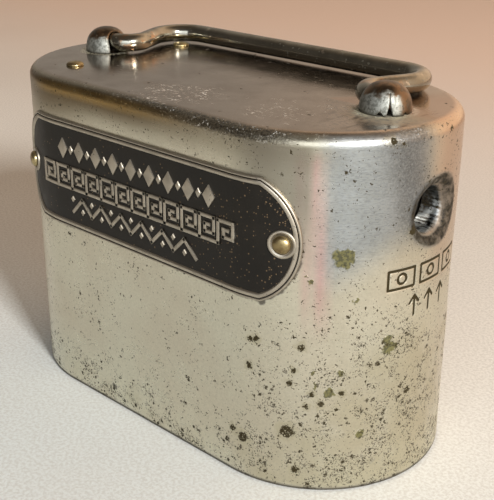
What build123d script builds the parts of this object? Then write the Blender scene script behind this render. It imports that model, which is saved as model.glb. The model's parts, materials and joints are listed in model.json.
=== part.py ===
from build123d import *

import math
import os

# Oval sheet-steel money box with a bail handle, a nameplate, a coin slot and a round bill hole.
# +X runs to the end with the bill hole, -Y faces the nameplate side, +Z is up.
# The origin is the centre of the oval footprint, on the surface the box stands on. Millimetres.

# ---- driving dimensions ----
half_depth = 28.6          # radius of the rounded ends
half_straight = 27.9       # from the middle to the centre of each rounded end
height = 77.9              # flat top above the table
rim_radius = 2.8           # rounded edge of the top
sheet = 0.8                # body sheet

hem_thick = 1.6            # folded bottom edge
hem_height = 3.2
hem_round = 0.6

gap = 0.3                  # clearance between parts that move past each other
running = 0.05             # radial clearance of a pin in its knuckle

wall_in = half_depth - sheet
hem_in = half_depth - hem_thick
top_in = height - sheet

# nameplate, with lengths measured along the wall
plate_z = 55.9
plate_half_height = 12.9
plate_corner = 35.5
plate_mid = 43.8
plate_thick = 0.7
plate_field = 0.35         # depth of the sunk field
plate_border = 1.7
plate_rivet_arc = 39.8
plate_boss = 2.75          # ring left round each rivet
plate_rivet_head = 1.85
plate_rivet_rise = 1.1
rivet_shank = 1.1
rivet_tail = 1.8

# handle and the two domes that hold it
wire = 2.2
handle_z = height + 2.5
lug_x = 43.6
lug_at = {-1: -lug_x, 1: 43.0}   # the right dome sits a little nearer the middle
lug_r = 5.3
lug_rise = 5.9
lug_sheet = 0.7
notch_angles = {-1: (-58, -32, 0, 32, 58), 1: (-128, -64, -6, 35, 70, 128)}
slit_angle = -47
foot_x = 33.6
foot_bend = 4.3
grip_y = 22.6
grip_x = 43.6
grip_bend = 7.4

# openings in the shell
slot_z = 67.6
slot_high = 3.2
slot_half_width = 14.0
bill_z = 60.0
bill_r = 4.6
bill_flare = 3.0
bill_tube_in = 49.9        # inner end of the drawn tube
bill_throat = 53.2         # where the tube starts to widen
bill_mouth = 3.4           # how much wider it is at the wall

# coin guard under the left of the top
guard_rivet_x = -34.6
guard_rivet_y = 17.1
guard_rivet_head = 2.0
guard_rivet_rise = 0.9
flap_sheet = 0.6
pin_r = 0.8
coin_pin_x = -49.0
coin_pin_z = 74.0
ear_y = 14.4               # inner face of the guard's ears
boss_r = 1.6
knuckle_r = 1.4

# bill guard behind the bill hole
bill_pin_x = 48.9
bill_pin_z = 69.4
bill_ear_y = 7.3

# base ring, door and hinge
ring_top = 9.4
seat_under = 8.6
seat_in = 20.5
door_r = 25.8
door_under = 2.4
door_top = door_under + sheet
flange_top = seat_under - gap
door_back = 22.0
hinge_y = 25.2
hinge_z = 2.5
hinge_r = 1.5
hinge_pin_r = 0.75
hinge_half = 14.0
hinge_fixed = [(-14.0, -8.5), (-2.75, 2.75), (8.5, 14.0)]
hinge_moving = [(-8.2, -3.05), (3.05, 8.2)]
hinge_rivet_places = [(x, y) for x in (-10.0, 10.0) for y in (15.0, 19.5)]

# lock on the inside of the door
case_x = 13.0
case_front = -18.5
case_back = 4.5
case_top = 9.8
case_rivet_places = [(x, y) for x in (-15.5, 15.5) for y in (-11.0, -3.0)]
door_rivet_r = 1.0
back_plate_top = door_top + 1.2
bolt_under = 4.6
bolt_tail_top = 5.6
bolt_head_top = 6.8
bolt_front = -20.0
bolt_throw = 5.0
post = (2.0, -4.0)
post_r = 1.2
stump_y = -7.2
stump_half = 0.7
stump_top = 8.0
gate_half = 0.85
lever_swing = 7.0          # degrees that a lever drops
lever_under = (5.8, 6.8)
lever_thick = 0.8
key_centre = (-6.0, -6.5)
key_post_r = 0.7
keyhole_r = 1.9


# ---- shared shapes ----
def oval(radius, low, high):
    """Upright prism with the footprint of the box, at the given end radius."""
    outline = SlotCenterToCenter(2 * half_straight, 2 * radius)
    return Pos(0, 0, low) * extrude(outline, high - low)


def block(low, high):
    """Box between two corners."""
    size = [h - l for l, h in zip(low, high)]
    middle = [(l + h) / 2 for l, h in zip(low, high)]
    return Pos(*middle) * Box(*size)


def rod(radius, start, end):
    """Round bar between two points."""
    along = Vector(*end) - Vector(*start)
    plane = Plane(origin=start, z_dir=along)
    return extrude(plane * Circle(radius), along.length)


def dome(radius, rise):
    """Rivet head: a spherical cap that stands on the XY plane."""
    ball = (radius ** 2 + rise ** 2) / (2 * rise)
    cap = Pos(0, 0, rise - ball) * Sphere(ball)
    return cap & block((-radius, -radius, 0), (radius, radius, rise))


def rivet(head_r, head_rise, shank_r, grip, tail_r, tail_rise):
    """Rivet along Z: its head stands on z = 0, its tail is upset below z = -grip."""
    head = dome(head_r, head_rise)
    shank = rod(shank_r, (0, 0, 0.1), (0, 0, -grip - 0.1))
    tail = Pos(0, 0, -grip) * Rot(180, 0, 0) * dome(tail_r, tail_rise)
    return head + shank + tail


def wall_point(arc):
    """Angle from -Y of the point that lies this far along the front wall from its middle."""
    return math.degrees((abs(arc) - half_straight) / half_depth)


def on_wall(arc, z):
    """Place on the rounded part of the front wall, with local +Z pointing out of the wall."""
    side = math.copysign(1, arc)
    angle = math.radians(wall_point(arc))
    x = side * (half_straight + half_depth * math.sin(angle))
    y = -half_depth * math.cos(angle)
    outwards = (side * math.sin(angle), -math.cos(angle), 0)
    return Plane(origin=(x, y, z), x_dir=(0, 0, 1), z_dir=outwards)


def save(name, shape):
    """Write one sub-part."""
    shape.label = name
    export_step(shape, f"parts/{name}.step")


# ---- shell ----
def make_shell():
    outside = oval(half_depth, 0, height)
    outside = fillet(outside.edges().group_by(Axis.Z)[-1], rim_radius)
    outside = fillet(outside.edges().group_by(Axis.Z)[0], hem_round)
    cavity = oval(wall_in, hem_height, top_in)
    cavity = fillet(cavity.edges().group_by(Axis.Z)[-1], rim_radius - sheet)
    mouth = oval(hem_in, -1, hem_height)
    tube = rod(bill_r + sheet, (bill_tube_in, 0, bill_z), (half_straight + half_depth, 0, bill_z))
    throat = Plane(origin=(bill_throat, 0, bill_z), z_dir=(1, 0, 0)) * Cone(
        bill_r + sheet, bill_r + bill_mouth, 3 * sheet, align=(Align.CENTER, Align.CENTER, Align.MIN))
    drawn = (tube + throat) & outside
    body = (outside - cavity - mouth) + drawn
    body -= rod(bill_r, (bill_tube_in - 1, 0, bill_z), (half_straight + half_depth + 1, 0, bill_z))
    lip = [e for e in body.edges()
           if e.bounding_box().min.X > bill_throat + 1 and abs(e.bounding_box().size.Z - 2 * bill_r) < 0.01]
    body = fillet(lip, bill_flare)
    slot = Plane.YZ.offset(-62) * Pos(0, slot_z) * extrude(
        SlotCenterToCenter(2 * slot_half_width - slot_high, slot_high), 12)
    body -= slot
    for side in (-1, 1):
        hole = on_wall(side * plate_rivet_arc, plate_z) * Cylinder(rivet_shank, 6)
        body -= hole
        body -= rod(rivet_shank, (guard_rivet_x, side * guard_rivet_y, 70),
                    (guard_rivet_x, side * guard_rivet_y, 80))
        for tab in (-1, 1):
            body -= lug_tab(side, tab)
    return body


# ---- handle, lugs and their tabs ----
def lug_tab(side, tab):
    """Tab of a lug that goes down through the top and is folded outwards under it."""
    x = lug_at[side]
    inner = lug_r - lug_sheet
    leg = block((x - 1.2, inner, top_in - lug_sheet), (x + 1.2, lug_r, height + 0.8))
    foot = block((x - 1.2, inner, top_in - lug_sheet), (x + 1.2, lug_r + 2.0, top_in))
    both = leg + foot
    return both if tab > 0 else mirror(both, Plane.XZ)


def make_lug(side, slit):
    skin = Sphere(1)
    outer = scale(skin, (lug_r, lug_r, lug_rise))
    inner = scale(skin, (lug_r - lug_sheet, lug_r - lug_sheet, lug_rise - lug_sheet))
    above = block((-10, -10, 0), (10, 10, 10))
    shell_of_dome = (outer - inner) & above
    axis_z = handle_z - height
    arch = rod(wire + 0.4, (0.8, 0, axis_z), (-8, 0, axis_z))
    arch += block((-8, -wire - 0.4, -1), (0.8 - 2.6, wire + 0.4, axis_z))
    mouth = rod(wire + 0.9, (-3.1, 0, axis_z), (-8, 0, axis_z))
    mouth += block((-8, -wire - 0.9, -1), (-3.1, wire + 0.9, axis_z))
    shell_of_dome -= arch + mouth
    for angle in notch_angles[side]:
        edge = Plane.YZ.offset(3) * Polygon((-0.75, -0.5), (0.75, -0.5), (0.2, 0.75), (-0.2, 0.75), align=None)
        shell_of_dome -= Rot(0, 0, angle) * extrude(edge, 4)
    if side < 0:
        shell_of_dome = mirror(shell_of_dome, Plane.YZ)
    if slit:
        split = Plane.YZ.offset(2) * Polygon((-0.08, 4.4), (0.08, 4.4), (0.3, 1.1), (1.3, -0.5), (-0.2, -0.5), align=None)
        shell_of_dome -= Rot(0, 0, slit_angle) * extrude(split, 5)
    lug = Pos(lug_at[side], 0, height) * shell_of_dome
    for tab in (-1, 1):
        lug += lug_tab(side, tab)
    return lug


def make_handle():
    end_x = lug_x + 1.0
    corners = [(end_x, 0), (foot_x, 0), (grip_x, grip_y), (-grip_x, grip_y), (-foot_x, 0), (-end_x, 0)]
    points = [(x, y, handle_z) for x, y in corners]
    path = FilletPolyline(*points, radius=[foot_bend, grip_bend, grip_bend, foot_bend])
    section = Plane(origin=points[0], z_dir=(-1, 0, 0)) * Circle(wire)
    return sweep(section, path)


# ---- nameplate ----
def plate_outline(inset):
    """Outline in the XZ plane: straight top and bottom, round ends that follow the wall."""
    half = plate_half_height - inset
    mid = plate_mid - inset
    sag = mid - plate_corner
    end_radius = (half ** 2 + sag ** 2) / (2 * sag)
    steps = 8
    ends = []
    for side in (1, -1):
        curve = []
        for i in range(steps + 1):
            z = half * (1 - 2 * i / steps)
            arc = mid - end_radius + math.sqrt(end_radius ** 2 - z ** 2)
            turned = (arc - half_straight) / half_depth
            curve.append((side * (half_straight + half_depth * math.sin(turned)), side * z + plate_z))
        ends.append(curve)
    right, left = ends
    edges = Spline(*right) + Line(right[-1], left[0]) + Spline(*left) + Line(left[-1], right[0])
    return make_face(edges)


def plate_prism(inset):
    """The outline carried through the front wall."""
    return extrude(Plane.XZ * plate_outline(inset), 40)


def make_nameplate():
    back = oval(half_depth, 30, 75)
    plate = (oval(half_depth + plate_thick, 30, 75) - back) & plate_prism(0)
    sunk = oval(half_depth + plate_thick + 1, 30, 75) - oval(half_depth + plate_thick - plate_field, 30, 75)
    sunk = sunk & plate_prism(plate_border)
    for side in (-1, 1):
        sunk -= on_wall(side * plate_rivet_arc, plate_z) * Cylinder(plate_boss, 8)
    plate -= sunk
    for side in (-1, 1):
        plate -= on_wall(side * plate_rivet_arc, plate_z) * Cylinder(rivet_shank, 8)
    return plate


def make_plate_rivet(side):
    grip = plate_thick + sheet
    shape = rivet(plate_rivet_head, plate_rivet_rise, rivet_shank, grip, rivet_tail, 0.6)
    placed = on_wall(side * plate_rivet_arc, plate_z) * Pos(0, 0, plate_thick) * shape
    metal = oval(half_depth + plate_thick, 30, 75) - oval(wall_in, 29, 76)
    stack = metal - on_wall(side * plate_rivet_arc, plate_z) * Cylinder(rivet_shank, 8)
    return placed - stack


# ---- coin guard ----
def flap_on_pin(x, z, half_width, bottom):
    """Flat flap that hangs straight down from two knuckles round a pin along Y."""
    half = flap_sheet / 2
    leaf = block((x - half, -half_width, bottom), (x + half, half_width, z - knuckle_r + 0.3))
    shape = fillet(leaf.edges().filter_by(Axis.X).group_by(Axis.Z)[0], 2.0)
    knuckle = 5.0
    for side in (-1, 1):
        outer = side * half_width
        inner = side * (half_width - knuckle)
        shape += rod(knuckle_r, (x, outer, z), (x, inner, z))
    shape -= rod(pin_r + running, (x, -half_width - 1, z), (x, half_width + 1, z))
    return shape


def headed_pin(x, z, half_length):
    """Pin along Y with a small head at each end."""
    shape = rod(pin_r, (x, -half_length, z), (x, half_length, z))
    for side in (-1, 1):
        shape += rod(pin_r + 0.4, (x, side * half_length, z), (x, side * (half_length + 0.5), z))
    return shape


def make_coin_guard_bracket():
    web = block((-47.5, -ear_y - sheet, top_in - sheet), (-37, ear_y + sheet, top_in))
    wing = block((-38, -guard_rivet_y - 3.2, top_in - sheet), (-30.4, guard_rivet_y + 3.2, top_in))
    shape = web + wing
    for side in (-1, 1):
        low_y = min(side * ear_y, side * (ear_y + sheet))
        plate = Polygon((-47.5, top_in - sheet), (-37, top_in - sheet), (-40, 73.0),
                        (coin_pin_x, coin_pin_z - boss_r), (coin_pin_x, coin_pin_z + boss_r), align=None)
        ear = Pos(0, low_y, 0) * extrude(Plane.XZ * plate, sheet, dir=(0, 1, 0))
        ear += rod(boss_r, (coin_pin_x, low_y, coin_pin_z), (coin_pin_x, low_y + sheet, coin_pin_z))
        shape += ear
        shape -= rod(rivet_shank, (guard_rivet_x, side * guard_rivet_y, 74),
                     (guard_rivet_x, side * guard_rivet_y, 79))
        tab_middle = side * (lug_r + 0.7)
        shape -= block((-lug_x - 1.7, tab_middle - 1.9, 74), (-lug_x + 1.7, tab_middle + 1.9, 79))
    shape -= rod(pin_r, (coin_pin_x, -20, coin_pin_z), (coin_pin_x, 20, coin_pin_z))
    return shape


def make_guard_rivet(side):
    shape = rivet(guard_rivet_head, guard_rivet_rise, rivet_shank, 2 * sheet, rivet_tail, 0.7)
    return Pos(guard_rivet_x, side * guard_rivet_y, height) * shape


# ---- bill guard ----
def make_bill_guard_bracket():
    pad = oval(wall_in, 68.4, 75.0) - oval(wall_in - sheet, 68, 76)
    pad &= block((40, -bill_ear_y - sheet, 60), (60, bill_ear_y + sheet, 80))
    shape = pad
    for side in (-1, 1):
        low_y = min(side * bill_ear_y, side * (bill_ear_y + sheet))
        ear = block((bill_pin_x, low_y, bill_pin_z - 1.0), (54.2, low_y + sheet, bill_pin_z + 4.0))
        ear += rod(boss_r, (bill_pin_x, low_y, bill_pin_z), (bill_pin_x, low_y + sheet, bill_pin_z))
        shape += ear
    shape -= rod(pin_r, (bill_pin_x, -12, bill_pin_z), (bill_pin_x, 12, bill_pin_z))
    return shape


# ---- base ring, keeper and hinge ----
def make_base_ring():
    leg = oval(wall_in, hem_height, ring_top) - oval(wall_in - sheet, hem_height - 1, ring_top + 1)
    seat = oval(wall_in, seat_under, ring_top) - oval(seat_in, seat_under - 1, ring_top + 1)
    return leg + seat


def make_lock_keeper():
    half = 7.0
    leg_out = -(wall_in - sheet)
    leg = block((-half, leg_out, 3.5), (half, leg_out + sheet, seat_under))
    lip = block((-half, leg_out, 3.5), (half, -21.5, 4.3))
    return leg + lip


def knuckles(spans, low_radius):
    """Knuckles along X round the hinge axis."""
    parts = [rod(low_radius, (a, hinge_y, hinge_z), (b, hinge_y, hinge_z)) for a, b in spans]
    shape = parts[0]
    for extra in parts[1:]:
        shape += extra
    return shape


def make_shell_hinge_leaf():
    outer = wall_in - sheet
    leaf = block((-hinge_half, outer - sheet, hinge_z), (hinge_half, outer, seat_under))
    for a, b in hinge_moving:
        leaf -= block((a - gap, outer - 2, hinge_z - 1), (b + gap, outer + 1, hinge_z + hinge_r + gap))
    leaf += knuckles(hinge_fixed, hinge_r)
    leaf -= rod(hinge_pin_r, (-20, hinge_y, hinge_z), (20, hinge_y, hinge_z))
    return leaf


def make_door_hinge_pin():
    pin = rod(hinge_pin_r, (-hinge_half, hinge_y, hinge_z), (hinge_half, hinge_y, hinge_z))
    for side in (-1, 1):
        pin += rod(hinge_pin_r + 0.4, (side * hinge_half, hinge_y, hinge_z),
                   (side * (hinge_half + 0.5), hinge_y, hinge_z))
    return pin


def make_door_hinge_leaf():
    leaf = block((-hinge_half, 12.5, door_top), (hinge_half, 22.6, door_top + sheet))
    leaf = fillet(leaf.edges().filter_by(Axis.Z).group_by(Axis.Y)[0], 1.5)
    for a, b in hinge_moving:
        leaf += block((a, 22.0, door_top), (b, hinge_y, door_top + sheet))
    leaf += knuckles(hinge_moving, hinge_r)
    leaf -= rod(hinge_pin_r + running, (-20, hinge_y, hinge_z), (20, hinge_y, hinge_z))
    for x, y in hinge_rivet_places:
        leaf -= Pos(x, y, door_top) * Cylinder(door_rivet_r, 6)
    return leaf


def make_rivet_group(places):
    """Rivets up through the door, their heads under it."""
    shapes = []
    for x, y in places:
        one = rivet(1.9, 0.7, door_rivet_r, 2 * sheet, 1.6, 0.7)
        shapes.append(Pos(x, y, door_under) * Rot(180, 0, 0) * one)
    return Compound(children=shapes)


# ---- door ----
def keyhole(low, high):
    """Round hole for the key's stem, with a slit for its bit."""
    x, y = key_centre
    stem = rod(keyhole_r, (x, y, low), (x, y, high))
    bit = block((x - 0.7, y - 5.2, low), (x + 0.7, y, high))
    return stem + bit


def make_base_door():
    trim = block((-60, -40, -1), (60, door_back, 20))
    pan = oval(door_r, door_under, flange_top) & trim
    inner_trim = block((-60, -40, -1), (60, door_back - sheet, 20))
    hollow = oval(door_r - sheet, door_top, flange_top + 1) & inner_trim
    pan -= hollow
    pan -= block((-8.0, -30, door_top), (8.0, -22, flange_top + 1))
    pan -= block((-hinge_half - 1.0, 20.5, door_top), (hinge_half + 1.0, 30, flange_top + 1))
    pan -= keyhole(0, 6)
    for x, y in hinge_rivet_places + case_rivet_places:
        pan -= Pos(x, y, door_under) * Cylinder(door_rivet_r, 6)
    return pan


def make_escutcheon():
    x, y = key_centre
    plate = Pos(x, y - 1.4, door_under - 0.6) * extrude(Ellipse(4.4, 6.4), 0.6)
    plate = fillet(plate.edges().group_by(Axis.Z)[0], 0.3)
    return plate - keyhole(0, 6)


# ---- lock ----
def make_lock_back_plate():
    plate = block((-12.0, -17.5, door_top), (12.0, 3.5, back_plate_top))
    return plate - keyhole(0, 6)


def make_lock_case():
    outer = block((-case_x, case_front, door_top), (case_x, case_back, case_top))
    outer = fillet(outer.edges().filter_by(Axis.Z), 1.5)
    outer = fillet(outer.edges().group_by(Axis.Z)[-1], 0.7)
    inner = block((-case_x + sheet, case_front + sheet, door_top - 1),
                  (case_x - sheet, case_back - sheet, case_top - sheet))
    for side in (-1, 1):
        low_x = min(side * 12.5, side * 18.0)
        outer += block((low_x, -14.0, door_top), (low_x + 5.5, 0.0, door_top + sheet))
    case = outer - inner
    case -= block((-6.3, case_front - 1, bolt_under - gap), (6.3, case_front + 2, bolt_head_top + gap))
    for x, y in case_rivet_places:
        case -= Pos(x, y, door_top) * Cylinder(door_rivet_r, 6)
    return case


def make_lock_bolt():
    head = block((-6.0, bolt_front, bolt_under), (6.0, -14.5, bolt_head_top))
    head = chamfer(head.edges().filter_by(Axis.X).group_by(Axis.Y)[0], 0.6)
    tail = block((-3.2, -14.6, bolt_under), (5.5, 3.2, bolt_tail_top))
    bolt = head + tail
    slot_length = bolt_throw + 2 * (post_r + 0.1)
    slot_middle = post[1] + bolt_throw / 2
    groove = Pos(post[0], slot_middle, 4) * Rot(0, 0, 90) * extrude(
        SlotOverall(slot_length, 2 * (post_r + 0.1)), 3)
    talon = Pos(-3.4, key_centre[1], 4) * Rot(0, 0, 90) * extrude(SlotOverall(5.6, 3.2), 3)
    return bolt - groove - talon


def make_bolt_stump():
    return block((post[0] - stump_half, stump_y - stump_half, bolt_tail_top),
                 (post[0] + stump_half, stump_y + stump_half, stump_top))


def make_lever(low):
    """Lever on the post, drawn with its gate in line with the stump."""
    x, y = post
    eye = rod(2.5, (x, y, low), (x, y, low + lever_thick))
    blade = Polygon((-0.6, -4.8), (-1.4, -7.0), (-1.4, -14.0), (5.6, -14.0), (5.6, -6.0), (4.3, -3.4),
                    align=None)
    lever = eye + Pos(0, 0, low) * extrude(blade, lever_thick)
    lever -= rod(post_r + running, (x, y, low - 1), (x, y, low + 2))
    swing = math.sin(math.radians(lever_swing))
    near = (y - stump_y) * swing + gap
    far = (y - stump_y + bolt_throw) * swing + gap
    gate = block((x - gate_half, stump_y - bolt_throw, low - 1), (x + gate_half, stump_y, low + 2))
    rear = block((x - gate_half, stump_y - 1.0, low - 1),
                 (x + stump_half + near, stump_y + stump_half + gap, low + 2))
    front_y = stump_y - bolt_throw
    front = block((x - gate_half, front_y - stump_half - gap, low - 1),
                  (x + stump_half + far, front_y + 1.0, low + 2))
    return lever - gate - rear - front


def make_lever_spring(low):
    """Leaf spring from the side of a lever to just short of the case wall."""
    middle = low + lever_thick / 2
    strip = 0.25
    path = Spline((5.6 + strip / 2, -7.0, middle), (8.6, -8.2, middle), (11.6, -12.0, middle),
                  tangents=((0.2, -1, 0), (0.1, -1, 0)))
    section = Plane(origin=path @ 0, z_dir=path % 0, x_dir=(0, 0, 1)) * Rectangle(0.6, strip)
    spring = sweep(section, path)
    pad = block((5.6, -7.2, middle - 0.3), (5.6 + strip, -6.2, middle + 0.3))
    return spring + pad


def make_lever_post():
    x, y = post
    shaft = rod(post_r, (x, y, back_plate_top), (x, y, case_top - sheet))
    collar = rod(2.2, (x, y, stump_top - 0.2), (x, y, case_top - sheet))
    return shaft + collar


def make_key_post():
    x, y = key_centre
    pin = rod(key_post_r, (x, y, door_under), (x, y, case_top - sheet))
    return pin + rod(1.6, (x, y, case_top - sheet - 0.6), (x, y, case_top - sheet))


# ---- write every sub-part ----
os.makedirs("parts", exist_ok=True)

save("shell", make_shell())
save("nameplate", make_nameplate())
save("nameplate_rivet_left", make_plate_rivet(-1))
save("nameplate_rivet_right", make_plate_rivet(1))
save("handle_lug_left", make_lug(-1, False))
save("handle_lug_right", make_lug(1, True))
save("handle", make_handle())

save("coin_guard_bracket", make_coin_guard_bracket())
save("guard_rivet_front", make_guard_rivet(-1))
save("guard_rivet_back", make_guard_rivet(1))
save("coin_flap", flap_on_pin(coin_pin_x, coin_pin_z, ear_y - gap, 59.5))
save("coin_flap_pin", headed_pin(coin_pin_x, coin_pin_z, ear_y + sheet))
save("bill_guard_bracket", make_bill_guard_bracket())
save("bill_flap", flap_on_pin(bill_pin_x, bill_pin_z, bill_ear_y - gap, 53.0))
save("bill_flap_pin", headed_pin(bill_pin_x, bill_pin_z, bill_ear_y + sheet))

save("base_ring", make_base_ring())
save("lock_keeper", make_lock_keeper())
save("shell_hinge_leaf", make_shell_hinge_leaf())
save("door_hinge_pin", make_door_hinge_pin())
save("base_door", make_base_door())
save("door_hinge_leaf", make_door_hinge_leaf())
save("door_hinge_rivets", make_rivet_group(hinge_rivet_places))
save("keyhole_escutcheon", make_escutcheon())

save("lock_back_plate", make_lock_back_plate())
save("lock_case", make_lock_case())
save("lock_case_rivets", make_rivet_group(case_rivet_places))
save("lock_bolt", make_lock_bolt())
save("bolt_stump", make_bolt_stump())
save("lever_post", make_lever_post())
save("key_post", make_key_post())
for number, level in enumerate(lever_under, start=1):
    save(f"lever_{number}", make_lever(level))
    save(f"lever_spring_{number}", make_lever_spring(level))
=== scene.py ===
import json
import math

import bmesh
import bpy
import numpy as np
from mathutils import Matrix, Vector, noise


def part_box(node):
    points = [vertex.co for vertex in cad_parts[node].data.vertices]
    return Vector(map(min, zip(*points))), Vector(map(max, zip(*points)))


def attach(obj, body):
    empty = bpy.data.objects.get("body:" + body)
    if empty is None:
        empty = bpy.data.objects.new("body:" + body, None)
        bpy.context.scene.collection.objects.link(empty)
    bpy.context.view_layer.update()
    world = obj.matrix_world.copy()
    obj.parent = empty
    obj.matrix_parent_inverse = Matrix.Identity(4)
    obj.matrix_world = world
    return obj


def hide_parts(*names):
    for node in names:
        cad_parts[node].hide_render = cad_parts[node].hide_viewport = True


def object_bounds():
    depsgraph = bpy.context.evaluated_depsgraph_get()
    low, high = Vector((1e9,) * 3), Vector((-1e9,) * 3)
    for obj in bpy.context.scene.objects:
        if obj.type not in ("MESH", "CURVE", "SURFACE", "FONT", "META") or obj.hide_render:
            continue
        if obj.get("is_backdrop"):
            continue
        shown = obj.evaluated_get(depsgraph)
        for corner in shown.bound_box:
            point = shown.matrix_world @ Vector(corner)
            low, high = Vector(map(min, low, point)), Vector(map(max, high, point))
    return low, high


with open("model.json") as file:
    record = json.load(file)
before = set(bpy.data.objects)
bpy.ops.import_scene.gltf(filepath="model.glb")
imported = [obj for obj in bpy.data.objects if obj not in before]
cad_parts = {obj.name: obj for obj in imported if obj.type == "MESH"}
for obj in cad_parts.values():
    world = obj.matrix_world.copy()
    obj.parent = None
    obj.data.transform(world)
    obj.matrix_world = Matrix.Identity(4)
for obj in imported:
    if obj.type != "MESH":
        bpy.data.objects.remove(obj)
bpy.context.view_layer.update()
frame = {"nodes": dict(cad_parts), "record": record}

# Looks of an oval nickel-plated money box. Metres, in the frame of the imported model:
# +X is the end with the bill hole, -Y the nameplate side, +Z up.
MM = 0.001
TINY = 1e-9

# ---- sizes, from the frame ----
shell_low, shell_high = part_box("shell")
R = (shell_high.y - shell_low.y) / 2           # radius of the rounded ends
S = (shell_high.x - shell_low.x) / 2 - R       # half length of the straight stretch
TOP = shell_high.z
SHEET = 0.8 * MM
RIM = 2.8 * MM                                 # rounded edge of the top
HEM = 1.6 * MM                                 # folded bottom edge
HEM_HIGH = 3.2 * MM
HEM_ROUND = 0.6 * MM
AROUND = 4 * S + 2 * math.pi * R               # once round the outer wall
END_ARC = S + math.pi * R / 2                  # arc length from the front middle to an end's middle

BILL_Z = 60.0 * MM
BILL_R = 4.6 * MM
BILL_FLARE = 3.0 * MM
BILL_TUBE = 6.6 * MM
SLOT_Z = 67.6 * MM
SLOT_HALF_HIGH = 1.6 * MM
SLOT_HALF_ARC = 14.63 * MM

plate_low, plate_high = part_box("nameplate")
PLATE_Z = (plate_low.z + plate_high.z) / 2
PLATE_HALF = (plate_high.z - plate_low.z) / 2
PLATE_THICK = 0.7 * MM
PLATE_FIELD = 0.35 * MM
PLATE_CORNER = 35.5 * MM
PLATE_MID = 43.8 * MM
PLATE_RIVET_ARC = 39.8 * MM
PLATE_SAG = PLATE_MID - PLATE_CORNER
PLATE_END_R = (PLATE_HALF ** 2 + PLATE_SAG ** 2) / (2 * PLATE_SAG)
PLATE_END = PLATE_MID - PLATE_END_R            # arc length to the middle of the plate's rounded end

LUG_X = 43.6 * MM
LUG_RIGHT_X = 43.0 * MM                        # the right lug sits a little further in
LUG_RADIUS = 5.3                               # in millimetres, as the rise
LUG_RISE = 5.9
LUG_FULLNESS = 2.35                            # 2 would be a half ellipse
GUARD_RIVET_X = -34.6 * MM
GUARD_RIVET_Y = 17.1 * MM
WIRE = 2.2 * MM
HANDLE_Z = TOP + 2.5 * MM


# ---- geometry on the oval wall ----
def wall_xy(arc, radius):
    """X and Y at this arc length along the outer wall (0 at the front middle, + towards +X)."""
    arc = np.asarray(arc, float)
    side = np.where(arc < 0, -1.0, 1.0)
    past = np.abs(arc) - S
    angle = np.clip(past / R, 0, math.pi)
    beyond = np.clip(past - math.pi * R, 0, None)
    x = np.where(past <= 0, arc, side * (S + radius * np.sin(angle) - beyond))
    y = -radius * np.cos(angle)
    return x, y


def wall(arc, radius, z):
    """Points on the oval at these arc lengths, offsets and heights."""
    arc, radius, z = np.broadcast_arrays(np.asarray(arc, float), radius, z)
    x, y = wall_xy(arc, radius)
    return np.stack([x, y, z], axis=-1)


def smooth(value, low, high):
    """Smooth step from 0 at low to 1 at high."""
    t = np.clip((value - low) / (high - low), 0, 1)
    return t * t * (3 - 2 * t)


def band(value, low, high, fall, end):
    """1 between high and fall, easing to 0 at low and at end."""
    return smooth(value, low, high) * (1 - smooth(value, fall, end))


class Mesh:
    """Points and faces that are gathered, welded and turned into one object."""

    def __init__(self):
        self.points = []
        self.faces = []
        self.slots = []

    def lattice(self, rows, closed=False, keep=None, slot=0):
        """Quads through an array of points, rows by columns; closed joins the last column to the first."""
        rows = np.asarray(rows, float)
        high, wide = rows.shape[:2]
        base = len(self.points)
        self.points.extend(rows.reshape(-1, 3))
        for i in range(high - 1):
            for j in range(wide if closed else wide - 1):
                if keep is not None and not keep[i][j]:
                    continue
                a = base + i * wide + j
                b = base + i * wide + (j + 1) % wide
                self.faces.append((a, b, b + wide, a + wide))
                self.slots.append(slot)

    def fan(self, ring, slot=0):
        """One face over a closed ring of points."""
        base = len(self.points)
        self.points.extend(np.asarray(ring, float))
        self.faces.append(tuple(range(base, base + len(ring))))
        self.slots.append(slot)

    def rod(self, rows):
        """Closed lattice with a face over each end."""
        self.lattice(rows, closed=True)
        self.fan(rows[0])
        self.fan(rows[-1])

    def build(self, name, weld=2e-6, sharp=40):
        """Makes the object: welded, normals outwards, smooth but for edges sharper than sharp degrees."""
        data = bpy.data.meshes.new(name)
        data.from_pydata([tuple(p) for p in self.points], [], self.faces)
        data.polygons.foreach_set("material_index", self.slots)
        tool = bmesh.new()
        tool.from_mesh(data)
        bmesh.ops.remove_doubles(tool, verts=tool.verts, dist=weld)
        bmesh.ops.dissolve_degenerate(tool, edges=tool.edges, dist=weld / 2)
        bmesh.ops.recalc_face_normals(tool, faces=tool.faces)
        for face in tool.faces:
            face.smooth = True
        for edge in tool.edges:
            if len(edge.link_faces) == 2 and edge.calc_face_angle(0) > math.radians(sharp):
                edge.smooth = False
        tool.to_mesh(data)
        tool.free()
        made = bpy.data.objects.new(name, data)
        bpy.context.scene.collection.objects.link(made)
        return made


def coordinates(made):
    """The object's vertices as an array."""
    co = np.zeros(len(made.data.vertices) * 3)
    made.data.vertices.foreach_get("co", co)
    return co.reshape(-1, 3)


def wobble(points, scale, seed):
    """Smooth noise, about -1 to 1, at each point."""
    shift = Vector((seed * 7.3, seed * 3.1, seed * 5.7))
    return np.array([noise.noise(Vector(p) / scale + shift) for p in points])


def attribute(made, name, values):
    """Stores one number per vertex for the materials."""
    layer = made.data.attributes.new(name, "FLOAT", "POINT")
    layer.data.foreach_set("value", np.asarray(values, np.float32))


def arc_of(points):
    """Arc length of each point along the outer wall."""
    x, y = points[:, 0], points[:, 1]
    side = np.where(x < 0, -1.0, 1.0)
    past = np.abs(x) - S
    angle = np.arctan2(np.clip(past, 0, None), -y)
    on_end = side * (S + R * angle)
    back = side * (S + math.pi * R + np.clip(-past, 0, None))
    return np.where(past > 0, on_end, np.where(y < 0, x, back))


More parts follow.
